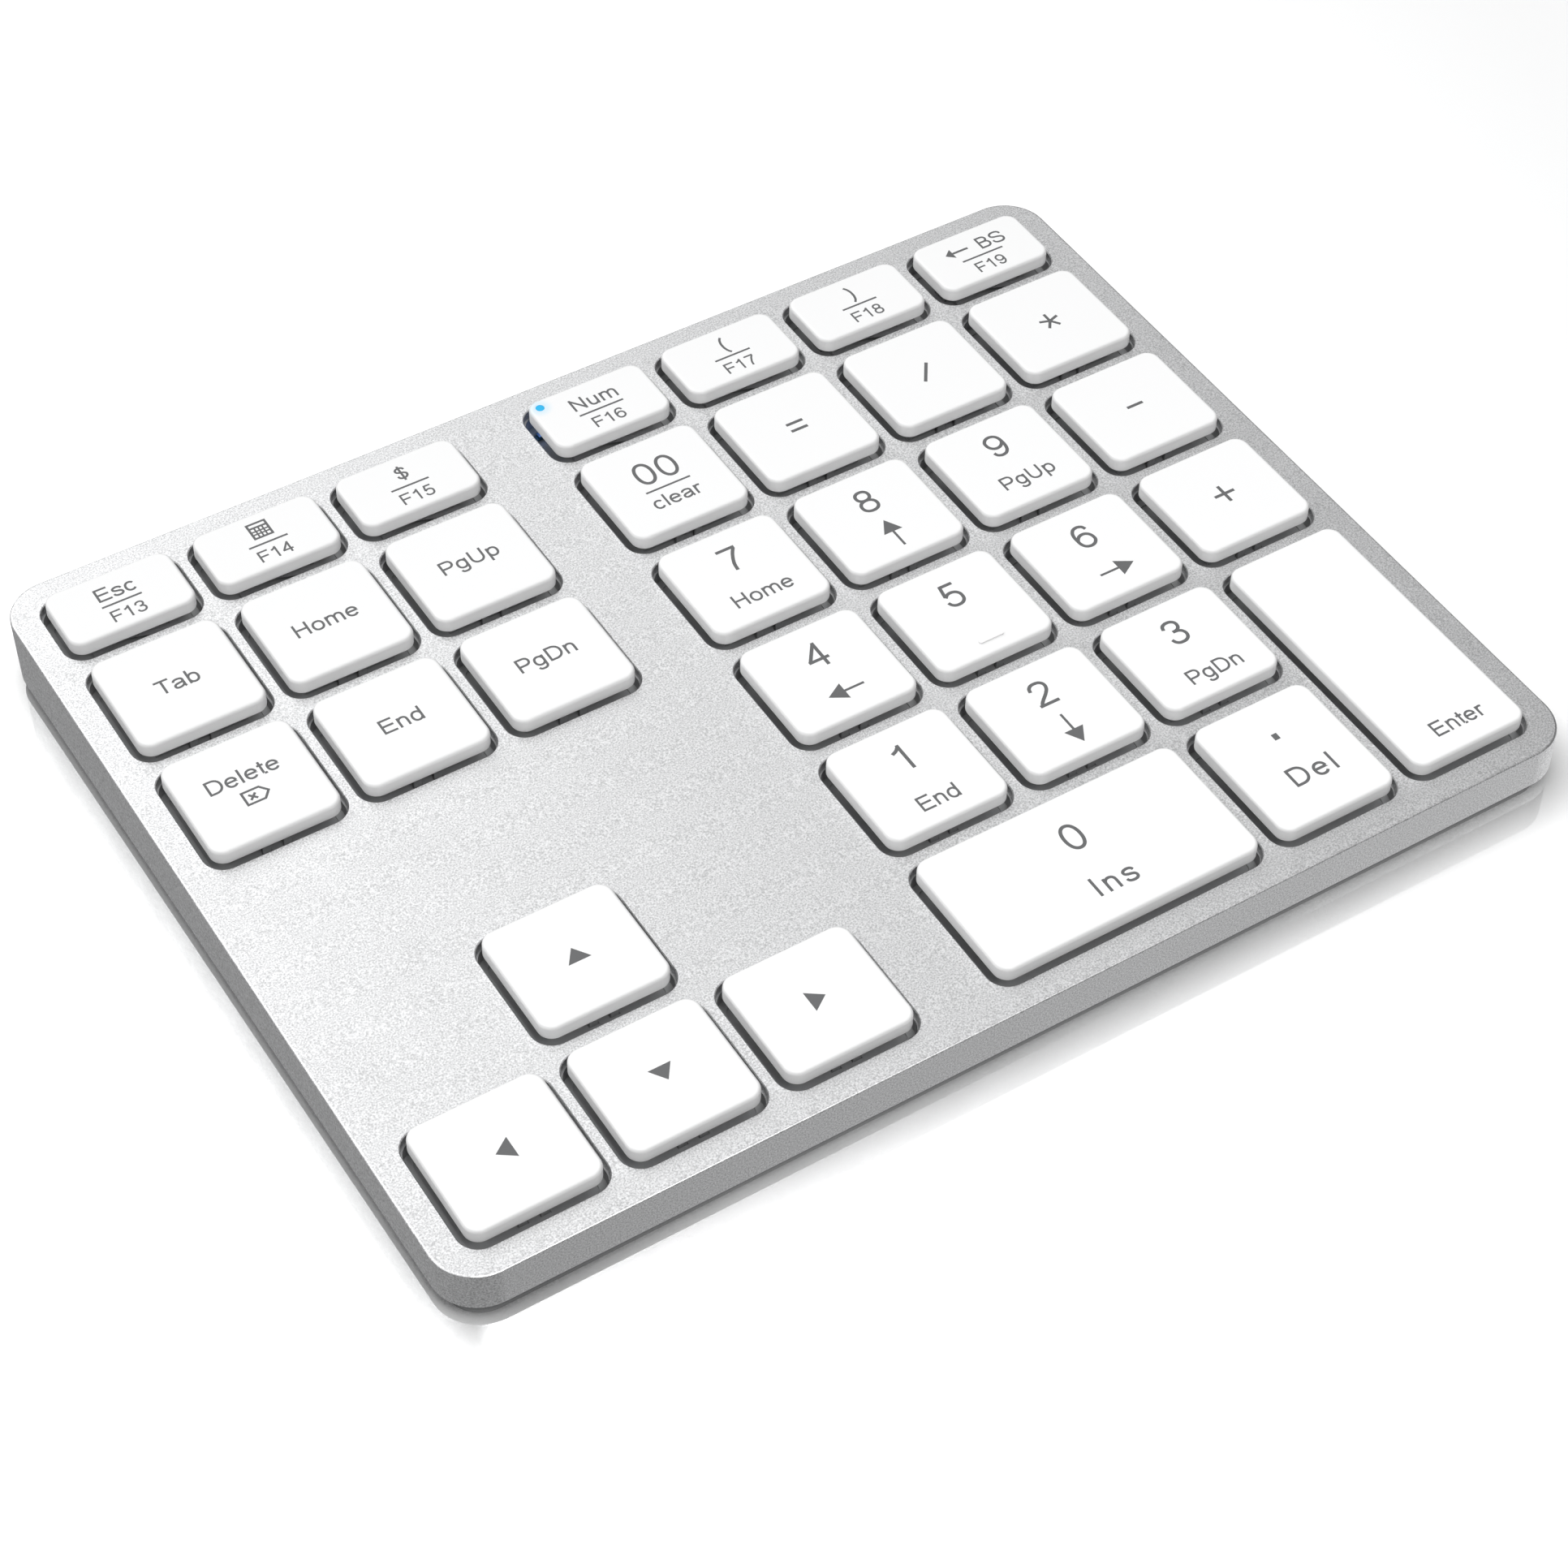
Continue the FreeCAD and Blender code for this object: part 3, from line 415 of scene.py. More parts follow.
# Each entry: advance width, strokes.
LETTERS = {
    "B": (.93, [[(.17, 0), (.17, 1)],
                [(.17, .94), (.48, .94)] + arc(.48, .735, .245, .205, 90, -90) + [(.17, .53)],
                [(.17, .53), (.52, .53)] + arc(.52, .297, .285, .237, 90, -90) + [(.17, .06)]]),
    "D": (1.008, [[(.17, 0), (.17, 1)],
                  [(.17, .94), (.46, .94)] + arc(.46, .5, .42, .44, 90, -90) + [(.17, .06)]]),
    "E": (.93, [[(.84, .94), (.17, .94), (.17, .06), (.86, .06)], [(.17, .52), (.81, .52)]]),
    "F": (.853, [[(.81, .94), (.175, .94), (.175, 0)], [(.175, .50), (.73, .50)]]),
    "H": (1.008, [[(.17, 0), (.17, 1)], [(.835, 0), (.835, 1)], [(.17, .525), (.835, .525)]]),
    "I": (.388, [[(.194, 0), (.194, 1)]]),
    "N": (1.008, [[(.17, 0), (.17, 1)], [(.835, 0), (.835, 1)], [(.17, .93), (.835, .07)]]),
    "P": (.93, [[(.17, 0), (.17, 1)],
                [(.17, .94), (.53, .94)] + arc(.53, .69, .275, .25, 90, -90) + [(.17, .44)]]),
    "S": (.93, [smooth((.80, .70), (.75, .84), (.63, .92), (.465, .945), (.29, .92), (.17, .84),
                       (.135, .73), (.17, .63), (.29, .56), (.47, .515), (.66, .46), (.78, .38),
                       (.805, .27), (.76, .14), (.64, .07), (.48, .05), (.29, .08), (.17, .16),
                       (.12, .31))]),
    "T": (.853, [[(.03, .94), (.82, .94)], [(.427, 0), (.427, .94)]]),
    "U": (1.008, [[(.17, 1)] + arc(.505, .40, .335, .35, 180, 360) + [(.84, 1)]]),
    "a": (.777, [smooth((.115, .52), (.16, .61), (.26, .66), (.38, .667), (.53, .64), (.605, .56),
                        (.615, .45)) + smooth((.615, .15), (.63, .06), (.665, 0)),
                 smooth((.615, .41), (.50, .375), (.33, .35), (.20, .32), (.125, .25), (.11, .18),
                        (.14, .10), (.22, .055), (.32, .048), (.46, .08), (.57, .16), (.615, .27))]),
    "b": (.777, [[(STEM, 0), (STEM, 1)], ring(.405, .357, .258, .308)]),
    "c": (.698, [arc(.365, .357, .252, .308, 38, 322)]),
    "d": (.777, [[(.625, 0), (.625, 1)], ring(.37, .357, .258, .308)]),
    "e": (.777, [[(.12, .385), (.658, .385)] + arc(.385, .357, .272, .308, 6, 325)]),
    "g": (.777, [smooth((.62, .05), (.61, -.07), (.56, -.17), (.45, -.225), (.36, -.235), (.24, -.22),
                        (.165, -.165), (.135, -.09)),
                 [(.62, .715), (.62, .04)], ring(.37, .365, .258, .30)]),
    "l": (.31, [[(STEM, 0), (STEM, 1)]]),
    "m": (1.163, [[(STEM, 0), (STEM, .715)], arch(STEM, .58), arch(.58, 1.01)]),
    "n": (.777, LOWER_N),
    "o": (.777, [ring(.385, .357, .278, .308)]),
    "p": (.777, [[(STEM, -.285), (STEM, .715)], ring(.405, .357, .258, .308)]),
    "r": (.465, [[(STEM, 0), (STEM, .715)],
                 smooth((STEM, .38), (.17, .53), (.23, .62), (.32, .655), (.40, .655), (.475, .63))]),
    "s": (.698, [smooth((.585, .52), (.54, .61), (.45, .655), (.345, .667), (.21, .64), (.13, .57),
                        (.13, .49), (.18, .43), (.29, .39), (.42, .36), (.54, .31), (.588, .22),
                        (.57, .13), (.48, .065), (.345, .048), (.20, .075), (.12, .14), (.095, .215))]),
    "t": (.388, [[(.03, .665), (.37, .665)],
                 [(.185, .92)] + smooth((.185, .19), (.20, .09), (.26, .055), (.375, .058))]),
    "u": (.777, half_turn(LOWER_N, .385, .3575)),
    "0": (.777, [ring(.385, .495, .268, .443)]),
    "1": (.777, [[(.46, 0), (.46, 1)], smooth((.455, .93), (.33, .81), (.165, .735))]),
    "2": (.777, [smooth((.115, .69), (.155, .83), (.26, .92), (.39, .94), (.53, .915), (.62, .83),
                        (.64, .71), (.59, .57), (.46, .42), (.30, .28), (.18, .16), (.125, .06)),
                 [(.045, .06), (.705, .06)]]),
    "3": (.777, [smooth((.12, .72), (.17, .86), (.27, .925), (.375, .94), (.49, .92), (.585, .84),
                        (.605, .73), (.57, .62), (.47, .545), (.32, .525)),
                 smooth((.32, .525), (.47, .515), (.60, .44), (.65, .30), (.61, .16), (.50, .075),
                        (.375, .055), (.25, .075), (.16, .15), (.115, .27))]),
    "4": (.777, [[(.53, 0), (.53, 1)], [(.03, .30), (.71, .30)], [(.52, .93), (.09, .32)]]),
    "5": (.777, [[(.655, .94), (.235, .94), (.16, .49)],
                 smooth((.16, .47), (.26, .565), (.385, .60), (.53, .57), (.63, .47), (.655, .33),
                        (.62, .18), (.51, .08), (.375, .055), (.25, .075), (.16, .15), (.115, .26))]),
    "6": (.777, SIX),
    "7": (.777, [[(.065, .94), (.70, .94)],
                 smooth((.655, .90), (.52, .70), (.41, .48), (.33, .25), (.30, 0))]),
    "8": (.777, [ring(.385, .737, .222, .203), ring(.385, .292, .268, .237)]),
    "9": (.777, half_turn(SIX, .385, .4975)),
    "$": (.777, [smooth((.635, .70), (.59, .81), (.50, .87), (.385, .89), (.25, .86), (.16, .78),
                        (.145, .69), (.19, .60), (.30, .54), (.42, .505), (.55, .45), (.64, .36),
                        (.645, .25), (.58, .14), (.46, .07), (.385, .06), (.25, .08), (.15, .16),
                        (.11, .29)),
                 [(.385, -.13), (.385, 1.06)]]),
    "(": (.465, BRACKET),
    ")": (.465, mirror(BRACKET, .2325)),
}


def ribbon(path, width):
    """Four-cornered pieces that cover a stroke of a given width, with mitred corners."""
    points = [Vector(p) for p in path]
    closed = (points[0] - points[-1]).length < 1e-6
    if closed:
        points.pop()
    points = [p for i, p in enumerate(points) if i == 0 or (p - points[i - 1]).length > 1e-6]
    count = len(points)
    sides = []
    for i, point in enumerate(points):
        before = points[i - 1] if closed or i > 0 else None
        after = points[(i + 1) % count] if closed or i < count - 1 else None
        into = (point - before).normalized() if before is not None else None
        out = (after - point).normalized() if after is not None else None
        into = into if into is not None else out
        out = out if out is not None else into
        along = (into + out).normalized()
        normal = Vector((-along.y, along.x))
        reach = width / 2 / max(0.5, normal.dot(Vector((-out.y, out.x))))
        sides.append((point + normal * reach, point - normal * reach))
    pairs = zip(sides, sides[1:] + sides[:1]) if closed else zip(sides, sides[1:])
    return [[a_left, a_right, b_right, b_left] for (a_left, a_right), (b_left, b_right) in pairs]


def text_shapes(text, cap, tracking=0.0, stroke=STROKE):
    """Shapes of a line of text in millimetres, starting at x = 0 on the baseline."""
    shapes = []
    pen = 0.0
    for letter in text:
        advance, strokes = LETTERS[letter]
        for path in strokes:
            placed = [(pen + x * cap * LETTER_WIDTH, y * cap) for x, y in path]
            shapes += ribbon(placed, stroke * cap)
        pen += advance * cap * LETTER_WIDTH + tracking
    return shapes


def moved(shapes, dx, dy):
    return [[Vector((p[0] + dx, p[1] + dy)) for p in shape] for shape in shapes]


def centred(shapes, x, y=0.0):
    """Shapes moved so that their middle is at x, and their baseline at y."""
    across = [p[0] for shape in shapes for p in shape]
    return moved(shapes, x - (min(across) + max(across)) / 2, y)


def text(words, cap, x, baseline, tracking=0.0, stroke=STROKE):
    return centred(text_shapes(words, cap, tracking, stroke), x, baseline)


def bar(x0, y0, x1, y1):
    return [[Vector((x0, y0)), Vector((x1, y0)), Vector((x1, y1)), Vector((x0, y1))]]


def line(x, y, length, thickness):
    return bar(x - length / 2, y - thickness / 2, x + length / 2, y + thickness / 2)


def turned(shapes, degrees):
    turn = Matrix.Rotation(math.radians(degrees), 2)
    return [[turn @ Vector(p) for p in shape] for shape in shapes]


def arrow(x, y, degrees, length, head, half_head, shaft):
    """Arrow whose middle is at x, y; it points along +X before it is turned."""
    tip = length / 2
    shapes = bar(-tip, -shaft / 2, tip - head + 0.05, shaft / 2)
    shapes.append([Vector((tip - head, -half_head)), Vector((tip, 0)), Vector((tip - head, half_head))])
    return moved(turned(shapes, degrees), x, y)


def triangle(degrees):
    """Solid arrow of the cursor keys, centred on its cap."""
    half_base = 1.4
    height = 2.0
    shape = [Vector((-height / 2, -half_base)), Vector((height / 2, 0)), Vector((-height / 2, half_base))]
    return turned([shape], degrees)


# ---- Legends, in millimetres from the middle of each cap ----

SMALL = 2.2                              # capital height of words
UNDER = 2.16                             # of a word under a digit
LARGE = 2.75                             # of Ins and Del
LARGE_GAP = 0.33                         # extra space between their letters
FUNCTION_NUMBER = 1.87                   # of F13 to F19
DIGIT = 3.88
DIGIT_STROKE = 0.112
SYMBOL_STROKE = 0.43
RULE = 0.28                              # thickness of the dividing lines
ABOVE, BELOW = 0.35, -3.47               # baselines on the function row
DIVIDER_Y = -0.56
DIGIT_Y = 0.80
ARROW_SIZE = dict(length=4.8, head=2.2, half_head=1.29, shaft=0.32)


def function_legend(upper, number, divider=5.07):
    lower = text("F%d" % number, FUNCTION_NUMBER, 0, BELOW)
    return upper + line(0, DIVIDER_Y, divider, RULE) + lower


def calculator_icon():
    """Small desk calculator: a frame with a display and three by four keys."""
    left, right, bottom, top = -1.315, 1.315, 0.41, 3.22
    edge, display, web = 0.30, 0.40, 0.22
    keys_top = top - edge - display
    shapes = bar(left, bottom, left + edge, top) + bar(right - edge, bottom, right, top)
    shapes += bar(left, bottom, right, bottom + edge) + bar(left, top - edge, right, top)
    shapes += bar(left, keys_top - edge, right, keys_top)
    inner_width = right - left - 2 * edge
    inner_height = keys_top - edge - bottom - edge
    for i in (1, 2, 3):
        x = left + edge + inner_width * i / 4
        shapes += bar(x - web / 2, bottom, x + web / 2, keys_top)
    for i in (1, 2):
        y = bottom + edge + inner_height * i / 3
        shapes += bar(left, y - web / 2, right, y + web / 2)
    return shapes


def delete_icon():
    """Tag pointing right with a cross in it."""
    stroke = 0.29
    top, bottom, shoulder, tip = -0.73, -2.66, 0.65, 1.46
    tag = [(-1.49, top), (shoulder, top), (tip, (top + bottom) / 2), (shoulder, bottom),
           (-1.49, bottom), (-1.49, top)]
    x, y, half = -0.46, -1.73, 0.42
    cross = ribbon([(x - half, y - half), (x + half, y + half)], stroke)
    cross += ribbon([(x - half, y + half), (x + half, y - half)], stroke)
    return ribbon(tag, stroke) + cross


def asterisk():
    """Five arms from a middle a little below the cap's own."""
    arms, reach, middle, stroke = 5, 1.42, -0.11, 0.38
    shapes = []
    for i in range(arms):
        angle = math.radians(90 + 360 * i / arms)
        tip = (reach * math.cos(angle), reach * math.sin(angle) + middle)
        shapes += ribbon([(0, middle), tip], stroke)
    return shapes


def digit_legend(digit, x=0.0):
    return text(digit, DIGIT, x, DIGIT_Y, stroke=DIGIT_STROKE)


def word_under(word, x, baseline):
    return text(word, UNDER, x, baseline)


def legend_shapes():
    """Every cap's legend."""
    return {
        "esc": function_legend(text("Esc", SMALL, 0, ABOVE), 13),
        "calculator": function_legend(calculator_icon(), 14),
        "dollar": function_legend(text("$", SMALL, 0, 0.72), 15),
        "num": function_legend(text("Num", SMALL, 0, ABOVE), 16, 6.17),
        "open_bracket": function_legend(text("(", 2.32, 0, 0.68), 17),
        "close_bracket": function_legend(text(")", 2.32, 0, 0.68), 18),
        "backspace": function_legend(
            text("BS", SMALL, 2.52, ABOVE) + arrow(-2.69, 1.5, 180, 3.41, 1.1, 0.9, 0.34), 19, 6.17),
        "tab": text("Tab", SMALL, -0.1, -1.1),
        "home": text("Home", SMALL, -0.1, -1.1),
        "page_up": text("PgUp", SMALL, 0, -0.83),
        "delete": text("Delete", SMALL, -0.13, 0.61) + delete_icon(),
        "end": text("End", SMALL, 0, -1.12),
        "page_down": text("PgDn", SMALL, 0, -0.83),
        "arrow_up": triangle(90),
        "arrow_left": triangle(180),
        "arrow_down": triangle(-90),
        "arrow_right": triangle(0),
        "double_zero": text("00", 3.9, 0.03, 0.17, stroke=DIGIT_STROKE) + line(0, -0.98, 6.17, RULE)
        + text("clear", 2.14, 0, -4.15),
        "equals": line(0, 0.56, 2.34, SYMBOL_STROKE) + line(0, -0.70, 2.34, SYMBOL_STROKE),
        "divide": ribbon([(-0.93, -1.54), (1.07, 1.39)], SYMBOL_STROKE),
        "multiply": asterisk(),
        "minus": line(0, 0, 2.34, SYMBOL_STROKE),
        "plus": line(0, 0, 2.88, SYMBOL_STROKE) + line(0, 0, SYMBOL_STROKE, 2.88),
        "7": digit_legend("7") + word_under("Home", 0.34, -4.78),
        "8": digit_legend("8") + arrow(0, -3.45, 90, **ARROW_SIZE),
        "9": digit_legend("9") + word_under("PgUp", 0.38, -4.54),
        "4": digit_legend("4") + arrow(0.12, -3.7, 180, **ARROW_SIZE),
        "5": digit_legend("5"),
        "6": digit_legend("6") + arrow(0.34, -3.7, 0, **ARROW_SIZE),
        "1": digit_legend("1", -0.23) + word_under("End", 0.09, -5.32),
        "2": digit_legend("2") + arrow(0, -3.43, -90, **ARROW_SIZE),
        "3": digit_legend("3") + word_under("PgDn", 0.52, -5.28),
        "0": text("0", DIGIT, 0.03, 1.14, stroke=DIGIT_STROKE)
        + text("Ins", LARGE, 0.52, -5.62, LARGE_GAP),
        "decimal": bar(-0.375, 2.885, 0.375, 3.835) + text("Del", LARGE, 0.48, -4.08, LARGE_GAP),
        "enter": word_under("Enter", 0.56, -15.56),
    }


def anticlockwise(shape):
    area = sum(a[0] * b[1] - b[0] * a[1] for a, b in zip(shape, shape[1:] + shape[:1]))
    return shape if area > 0 else shape[::-1]


def within(shape, points):
    """Which of the points lie inside a convex anticlockwise shape."""
    result = np.ones(len(points), bool)
    for a, b in zip(shape, shape[1:] + shape[:1]):
        result &= (b[0] - a[0]) * (points[:, 1] - a[1]) - (b[1] - a[1]) * (points[:, 0] - a[0]) >= 0
    return result


ALL_TRIANGLES = 0                        # delaunay_2d_cdt returns the whole convex hull
MERGE_DISTANCE = 1e-5


def place_number(point):
    """One number for each place, to sort by: across counts most, then along the deck, then height."""
    return point.x * 1e6 + point.y * 1e3 + point.z


def ink_mesh(name, shapes):
    """One closed layer that covers all the shapes, without overlaps inside it."""
    corners = []
    faces = []
    for shape in shapes:
        start = len(corners)
        corners += [Vector((p[0], p[1])) for p in anticlockwise(shape)]
        faces.append(list(range(start, start + len(shape))))
    points, _, triangles, _, _, _ = delaunay_2d_cdt(corners, [], faces, ALL_TRIANGLES, MERGE_DISTANCE)
    middles = np.array([sum((points[i] for i in triangle), Vector((0, 0))) / 3 for triangle in triangles])
    covered = np.zeros(len(triangles), bool)
    for shape in shapes:
        covered |= within(anticlockwise(shape), middles)
    inside = [triangle for triangle, keep in zip(triangles, covered) if keep]
    layer = bmesh.new()
    top = CAP_TOP + INK_HEIGHT
    vertices = [layer.verts.new((p.x, p.y, top)) for p in points]
    for corner_list in inside:
        layer.faces.new([vertices[i] for i in corner_list])
    bmesh.ops.delete(layer, geom=[v for v in layer.verts if not v.link_faces], context="VERTS")
    made = bmesh.ops.extrude_face_region(layer, geom=layer.faces[:])
    lower = [item for item in made["geom"] if isinstance(item, bmesh.types.BMVert)]
    bmesh.ops.translate(layer, verts=lower, vec=(0, 0, -INK_HEIGHT - INK_DEPTH))
    bmesh.ops.recalc_face_normals(layer, faces=layer.faces)
    # Extruding leaves the new corners and faces in an order that changes from run to run.
    layer.verts.sort(key=lambda vertex: place_number(vertex.co))
    layer.faces.sort(key=lambda face: place_number(face.calc_center_median()))
    mesh = bpy.data.meshes.new(name)
    layer.to_mesh(mesh)
    layer.free()
    return mesh


def add_legends(ink):
    for name, shapes in legend_shapes().items():
        key = KEYS[name]
        mesh = ink_mesh("legend_" + name, shapes)
        mesh.transform(DECK @ Matrix.Scale(MM, 4) @ Matrix.Translation((key.x, key.y, 0)))
        mesh.materials.append(ink)
        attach(new_object("legend_" + name, mesh), key.body)


# ---- Switch parts under each cap ----

def revolved(name, profile, segments=32):
    """Closed body turned from a closed profile of (radius, height) points."""
    body = bmesh.new()
    rings = []
    for radius, height in profile:
        if radius == 0:
            rings.append([body.verts.new((0, 0, height))] * segments)
            continue
        angles = [2 * math.pi * i / segments for i in range(segments)]
        rings.append([body.verts.new((radius * math.cos(a), radius * math.sin(a), height)) for a in angles])
    for lower, upper in zip(rings, rings[1:] + rings[:1]):
        for i in range(segments):
            j = (i + 1) % segments
            corners = dict.fromkeys([lower[i], lower[j], upper[j], upper[i]])
            if len(corners) > 2:
                body.faces.new(corners)
    bmesh.ops.recalc_face_normals(body, faces=body.faces)
    mesh = bpy.data.meshes.new(name)
    body.to_mesh(mesh)
    body.free()
    mesh.polygons.foreach_set("use_smooth", [True] * len(mesh.polygons))
    return mesh


DOME_TIP_DEPTH = 1.03                    # the dome's tip, below the top of its cap
NARROW_DOME = 0.7                        # width of a dome under a half-depth cap, as a share


def add_dome(key, rubber):
    """Silicone dome: a flat skirt, a flexing cone and a solid tip under the cap."""
    scale = NARROW_DOME if key.half_depth() else 1.0
    tip = CAP_TOP - DOME_TIP_DEPTH - MEMBRANE_TOP
    outer = [(3.0, 0.02), (3.0, 0.2), (2.93, 0.27), (2.62, 0.3), (2.48, 0.4), (2.05, 1.25), (1.68, 2.1),
             (1.54, 2.5), (1.5, 2.8), (1.5, tip - 0.15), (1.42, tip - 0.03), (1.2, tip), (0, tip)]
    inner = [(0, 2.5), (0.9, 2.47), (1.12, 2.3), (1.45, 1.6), (1.85, 0.75), (2.2, 0.02)]
    profile = [(r * scale, z) for r, z in outer + inner]
    mesh = revolved("dome_" + key.name, profile)
    mesh.transform(DECK @ Matrix.Scale(MM, 4) @ Matrix.Translation((key.x, key.y, MEMBRANE_TOP)))
    mesh.materials.append(rubber)
    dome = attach(new_object("dome_" + key.name, mesh), CASE)
    fold_with(dome)
    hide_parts("rubber_domes")


def fold_with(piece):
    """Give a piece its own copy of its mesh."""
    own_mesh(piece)


def islands(node):
    """The separate solids of a CAD node, as (mesh in its own right, middle) pairs."""
    whole = bmesh.new()
    whole.from_mesh(frame["nodes"][node].data)
    bmesh.ops.remove_doubles(whole, verts=whole.verts, dist=1e-6)
    whole.faces.ensure_lookup_table()
    waiting = set(whole.faces)
    found = []
    while waiting:
        stack = [waiting.pop()]
        island = set(stack)
        while stack:
            for edge in stack.pop().edges:
                for face in edge.link_faces:
                    if face in waiting:
                        waiting.remove(face)
                        island.add(face)
                        stack.append(face)
        found.append(island)
    pieces = []
    # The solids were taken from a set, so they are put in a fixed order here.
    for island in sorted(found, key=lambda faces: min(face.index for face in faces)):
        part = bmesh.new()
        copies = {}
        for face in sorted(island, key=lambda f: f.index):
            for vertex in face.verts:
                if vertex.index not in copies:
                    copies[vertex.index] = part.verts.new(vertex.co)
            part.faces.new([copies[v.index] for v in face.verts])
        mesh = bpy.data.meshes.new(node)
        part.to_mesh(mesh)
        part.free()
        middle = sum((v.co for v in mesh.vertices), Vector()) / len(mesh.vertices)
        pieces.append((mesh, DECK.inverted() @ middle / MM))
    whole.free()
    return pieces


def add_folding_pieces(node, prefix, material, keys):
    """Give each key its own piece of a CAD group."""
    for mesh, middle in islands(node):
        key = min(keys, key=lambda k: (k.x - middle.x) ** 2 + (k.y - middle.y) ** 2)
        mesh.materials.append(material)
        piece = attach(new_object(prefix + key.name, mesh), CASE)
        fold_with(piece)
        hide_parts(node)


def add_switch_parts(materials):
    every = list(KEYS.values())
    for key in every:
        add_dome(key, materials["dome_rubber"])
    link = materials["link_plastic"]
    add_folding_pieces("scissor_outer_links", "outer_link_", link, every)
    add_folding_pieces("scissor_inner_links", "inner_link_", link, every)
    add_folding_pieces("stabiliser_wires", "stabiliser_", materials["wire_steel"],
                       [KEYS["0"], KEYS["enter"]])


# ---- Stage, light and camera ----

CAMERA_PLACE = Vector((-151.07, -244.23, 294.34)) * MM
CAMERA_FORWARD = Vector((0.36199, 0.58124, -0.72878))
CAMERA_RIGHT = Vector((0.84775, -0.53040, -0.00193))
CAMERA_LENS = 80
SENSOR = 36


def add_camera():
    data = bpy.data.cameras.new("camera")
    data.lens = CAMERA_LENS
    data.sensor_width = SENSOR
    data.clip_start = 0.01
    data.clip_end = 20
    camera = new_object("camera", data)
    forward = CAMERA_FORWARD.normalized()
    right = (CAMERA_RIGHT - forward * CAMERA_RIGHT.dot(forward)).normalized()
    up = right.cross(forward)
    turn = Matrix((right, up, -forward)).transposed()
    camera.matrix_world = Matrix.Translation(CAMERA_PLACE) @ turn.to_4x4()
    bpy.context.scene.camera = camera


FLOOR_HALF = 3.0                         # metres from the middle to an edge
FLOOR_WHITE = 1.38                       # over 1, so that the table goes plain white round the part
FLOOR_GLOSS = 0.38                       # share of mirror reflection in the floor
CONTACT_REACH = 6 * MM                   # contact shading reaches this far from the case
CONTACT_LEFT = (-75 * MM, 2.3)           # x of the case's left side, strength of that shading there
CONTACT_REST = (-40 * MM, 1.4)           # and from this x on


def floor_material():
    """Glossy white that darkens close to the case, and is clear from below."""
    material = bpy.data.materials.new("floor")
    material.use_nodes = True
    tree = material.node_tree
    tree.nodes.clear()
    split = tree.nodes.new("ShaderNodeSeparateXYZ")
    tree.links.new(tree.nodes.new("ShaderNodeTexCoord").outputs["Object"], split.inputs[0])
    (left, strong), (right, weak) = CONTACT_LEFT, CONTACT_REST
    strength = map_range(tree, split.outputs["X"], left, right, strong, weak)
    contact = tree.nodes.new("ShaderNodeAmbientOcclusion")
    contact.inputs["Distance"].default_value = CONTACT_REACH
    shade = math_node(tree, "POWER", contact.outputs["AO"], strength)
    diffuse = tree.nodes.new("ShaderNodeBsdfDiffuse")
    tree.links.new(math_node(tree, "MULTIPLY", shade, FLOOR_WHITE), diffuse.inputs["Color"])
    glossy = tree.nodes.new("ShaderNodeBsdfGlossy")
    glossy.inputs["Color"].default_value = (1, 1, 1, 1)
    glossy.inputs["Roughness"].default_value = 0.04
    table = tree.nodes.new("ShaderNodeMixShader")
    table.inputs["Fac"].default_value = FLOOR_GLOSS
    tree.links.new(diffuse.outputs[0], table.inputs[1])
    tree.links.new(glossy.outputs[0], table.inputs[2])
    two_sided = tree.nodes.new("ShaderNodeMixShader")
    tree.links.new(tree.nodes.new("ShaderNodeNewGeometry").outputs["Backfacing"], two_sided.inputs["Fac"])
    tree.links.new(table.outputs[0], two_sided.inputs[1])
    tree.links.new(tree.nodes.new("ShaderNodeBsdfTransparent").outputs[0], two_sided.inputs[2])
    output = tree.nodes.new("ShaderNodeOutputMaterial")
    tree.links.new(two_sided.outputs[0], output.inputs["Surface"])
    return material


def add_floor():
    """Plain table top, hidden from reflections and bounced light, so that the case's sides stay grey."""
    mesh = bpy.data.meshes.new("floor")
    edge = FLOOR_HALF
    corners = [(-edge, -edge, 0), (edge, -edge, 0), (edge, edge, 0), (-edge, edge, 0)]
    mesh.from_pydata(corners, [], [(0, 1, 2, 3)])
    mesh.materials.append(floor_material())
    floor = new_object("floor", mesh)
    floor.visible_glossy = False
    floor.visible_diffuse = False


BACKDROP = 0.92                          # brightness of the plain backdrop beyond the table


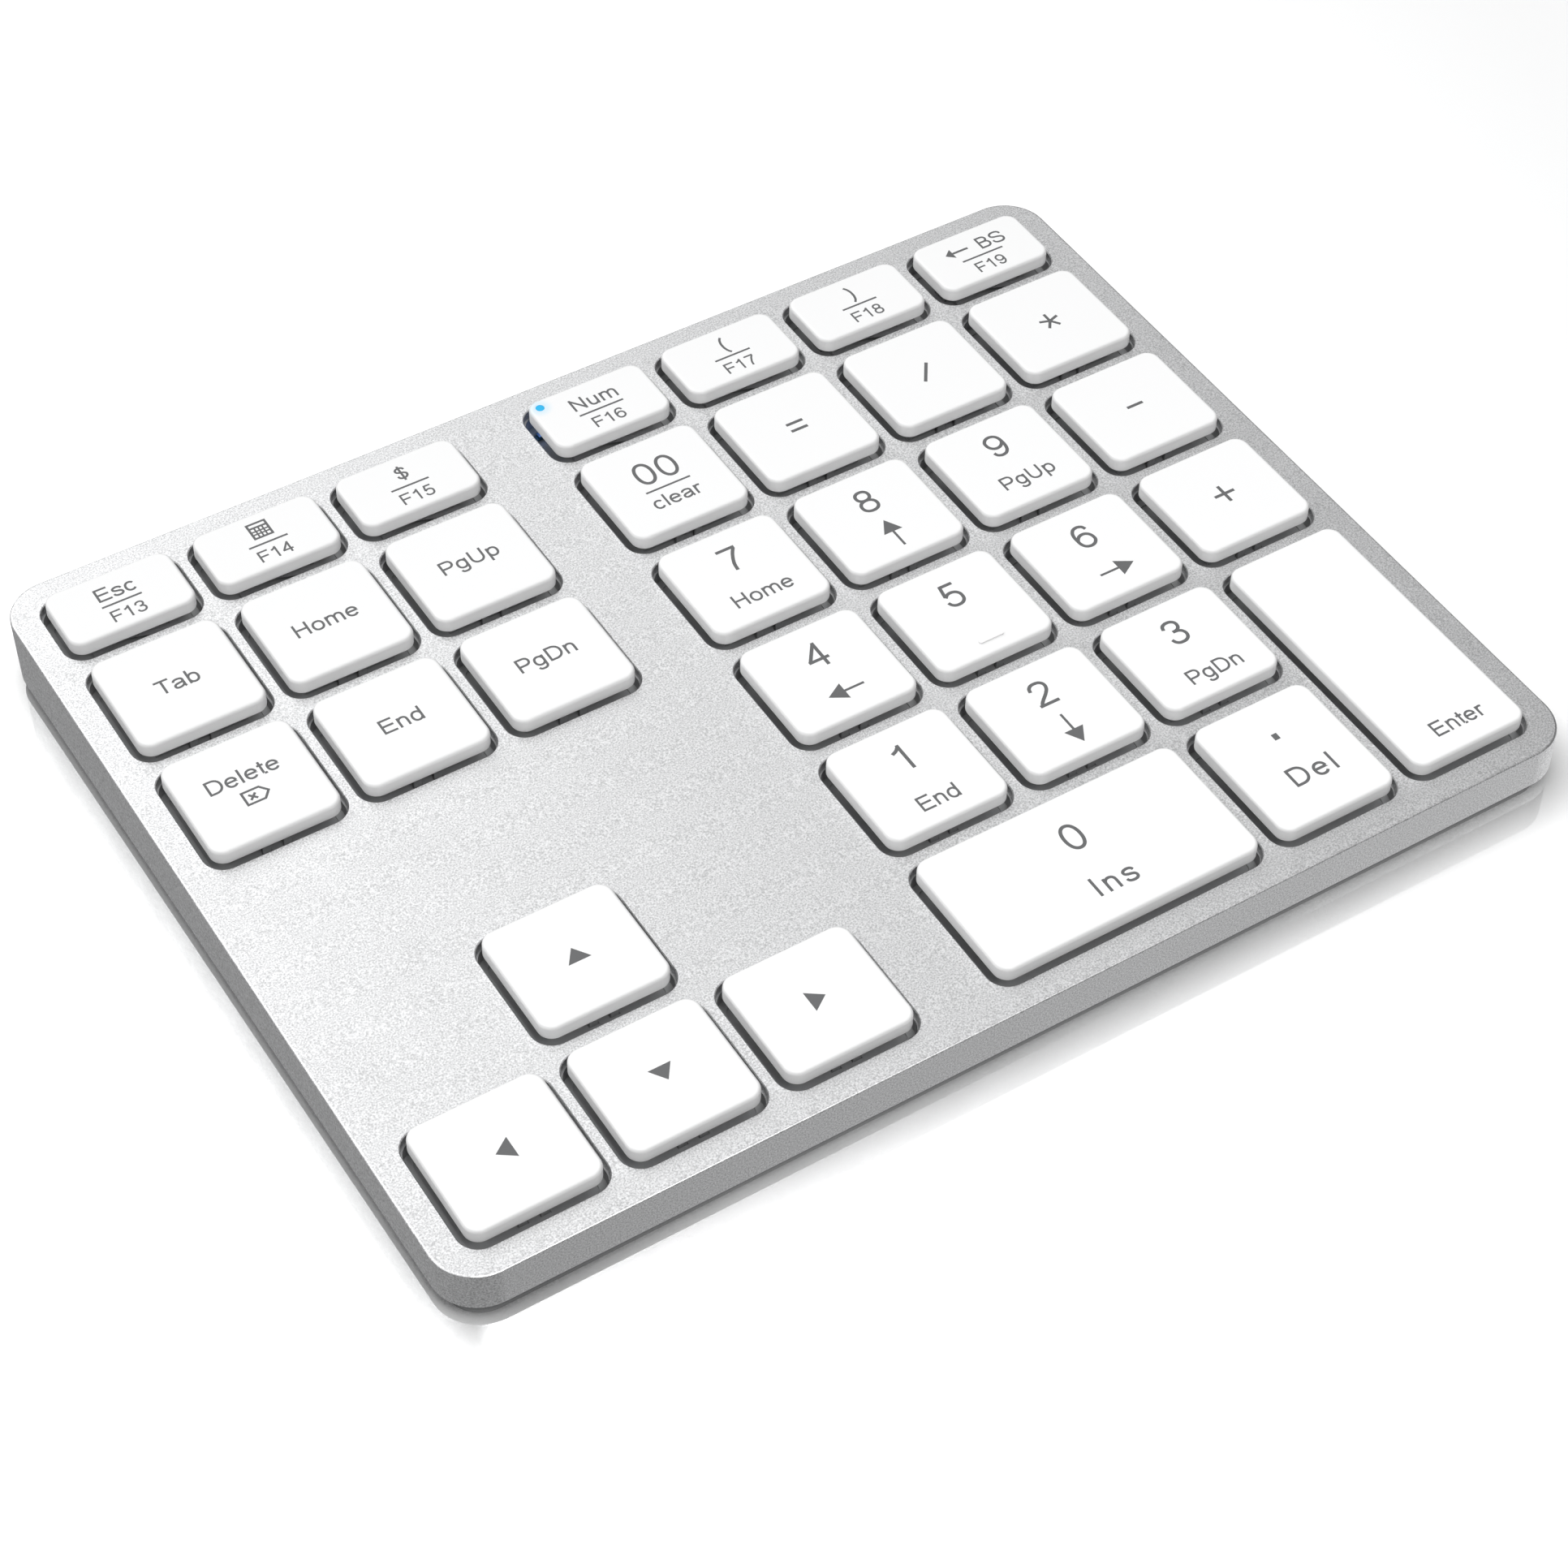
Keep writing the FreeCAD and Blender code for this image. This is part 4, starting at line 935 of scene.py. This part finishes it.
def add_world():
    """Soft room, bright above and to the left; dimmer to the right, in front, overhead and below."""
    world = bpy.data.worlds.new("studio")
    bpy.context.scene.world = world
    world.use_nodes = True
    tree = world.node_tree
    place = tree.nodes.new("ShaderNodeTexCoord")
    split = tree.nodes.new("ShaderNodeSeparateXYZ")
    tree.links.new(place.outputs["Generated"], split.inputs[0])

    across, back, height = split.outputs["X"], split.outputs["Y"], split.outputs["Z"]
    fades = [
        # direction, from, to, brightness at each of the two, curve
        (height, 0.0, 0.75, 0.05, 1.0, "SMOOTHSTEP"),      # dim near the horizon
        (height, 0.78, 0.97, 1.0, 0.42, "SMOOTHSTEP"),     # and again straight above
        (across, -0.60, 0.05, 0.69, 1.19, "SMOOTHSTEP"),   # a little dimmer at the far left
        (back, -0.70, 0.25, 0.10, 1.20, "SMOOTHSTEP"),     # dark in front
    ]
    above = map_range(tree, across, -0.28, 0.60, 2.28, 0.144)
    for fade in fades:
        above = math_node(tree, "MULTIPLY", above, map_range(tree, *fade))
    level = tree.nodes.new("ShaderNodeMix")
    tree.links.new(map_range(tree, height, -0.08, 0.08, 0.0, 1.0, "SMOOTHSTEP"), level.inputs["Factor"])
    tree.links.new(map_range(tree, across, 0.2, 0.75, 0.32, 0.88), level.inputs["A"])
    tree.links.new(above, level.inputs["B"])
    backdrop = tree.nodes.new("ShaderNodeMix")
    backdrop.inputs["B"].default_value = BACKDROP
    camera_ray = tree.nodes.new("ShaderNodeLightPath").outputs["Is Camera Ray"]
    tree.links.new(camera_ray, backdrop.inputs["Factor"])
    tree.links.new(level.outputs["Result"], backdrop.inputs["A"])
    tree.links.new(backdrop.outputs["Result"], tree.nodes["Background"].inputs["Strength"])
    tree.nodes["Background"].inputs["Color"].default_value = (0.995, 0.998, 1.0, 1)


SOFTBOX_PLACE = Vector((-0.03, -0.57, 0.82))
SOFTBOX_SIDE = 0.42
SOFTBOX_POWER = 5.0
GLOW_POWER = 0.000015                    # light that spills from the Num Lock light, in watts
GLOW_HEIGHT = 0.8 * MM                   # its place above the light


def add_lights():
    data = bpy.data.lights.new("front_softbox", "AREA")
    data.shape = "RECTANGLE"
    data.size = SOFTBOX_SIDE
    data.size_y = SOFTBOX_SIDE
    data.energy = SOFTBOX_POWER
    softbox = new_object("front_softbox", data)
    softbox.location = SOFTBOX_PLACE
    softbox.rotation_euler = (-SOFTBOX_PLACE).to_track_quat("-Z", "Y").to_euler()
    low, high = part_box("num_lock_led")
    glow = bpy.data.lights.new("num_glow", "POINT")
    glow.energy = GLOW_POWER
    glow.color = (0.10, 0.35, 1.0)
    glow.shadow_soft_size = 0.3 * MM
    new_object("num_glow", glow).location = (low + high) / 2 + DECK_NORMAL * GLOW_HEIGHT


def set_picture():
    view = bpy.context.scene.view_settings
    view.view_transform = "Standard"
    view.look = "None"


MATERIALS = slot_materials()
dress_cad_nodes(MATERIALS)
add_legends(legend_ink())
add_switch_parts(MATERIALS)
add_floor()
add_world()
add_lights()
add_camera()
set_picture()
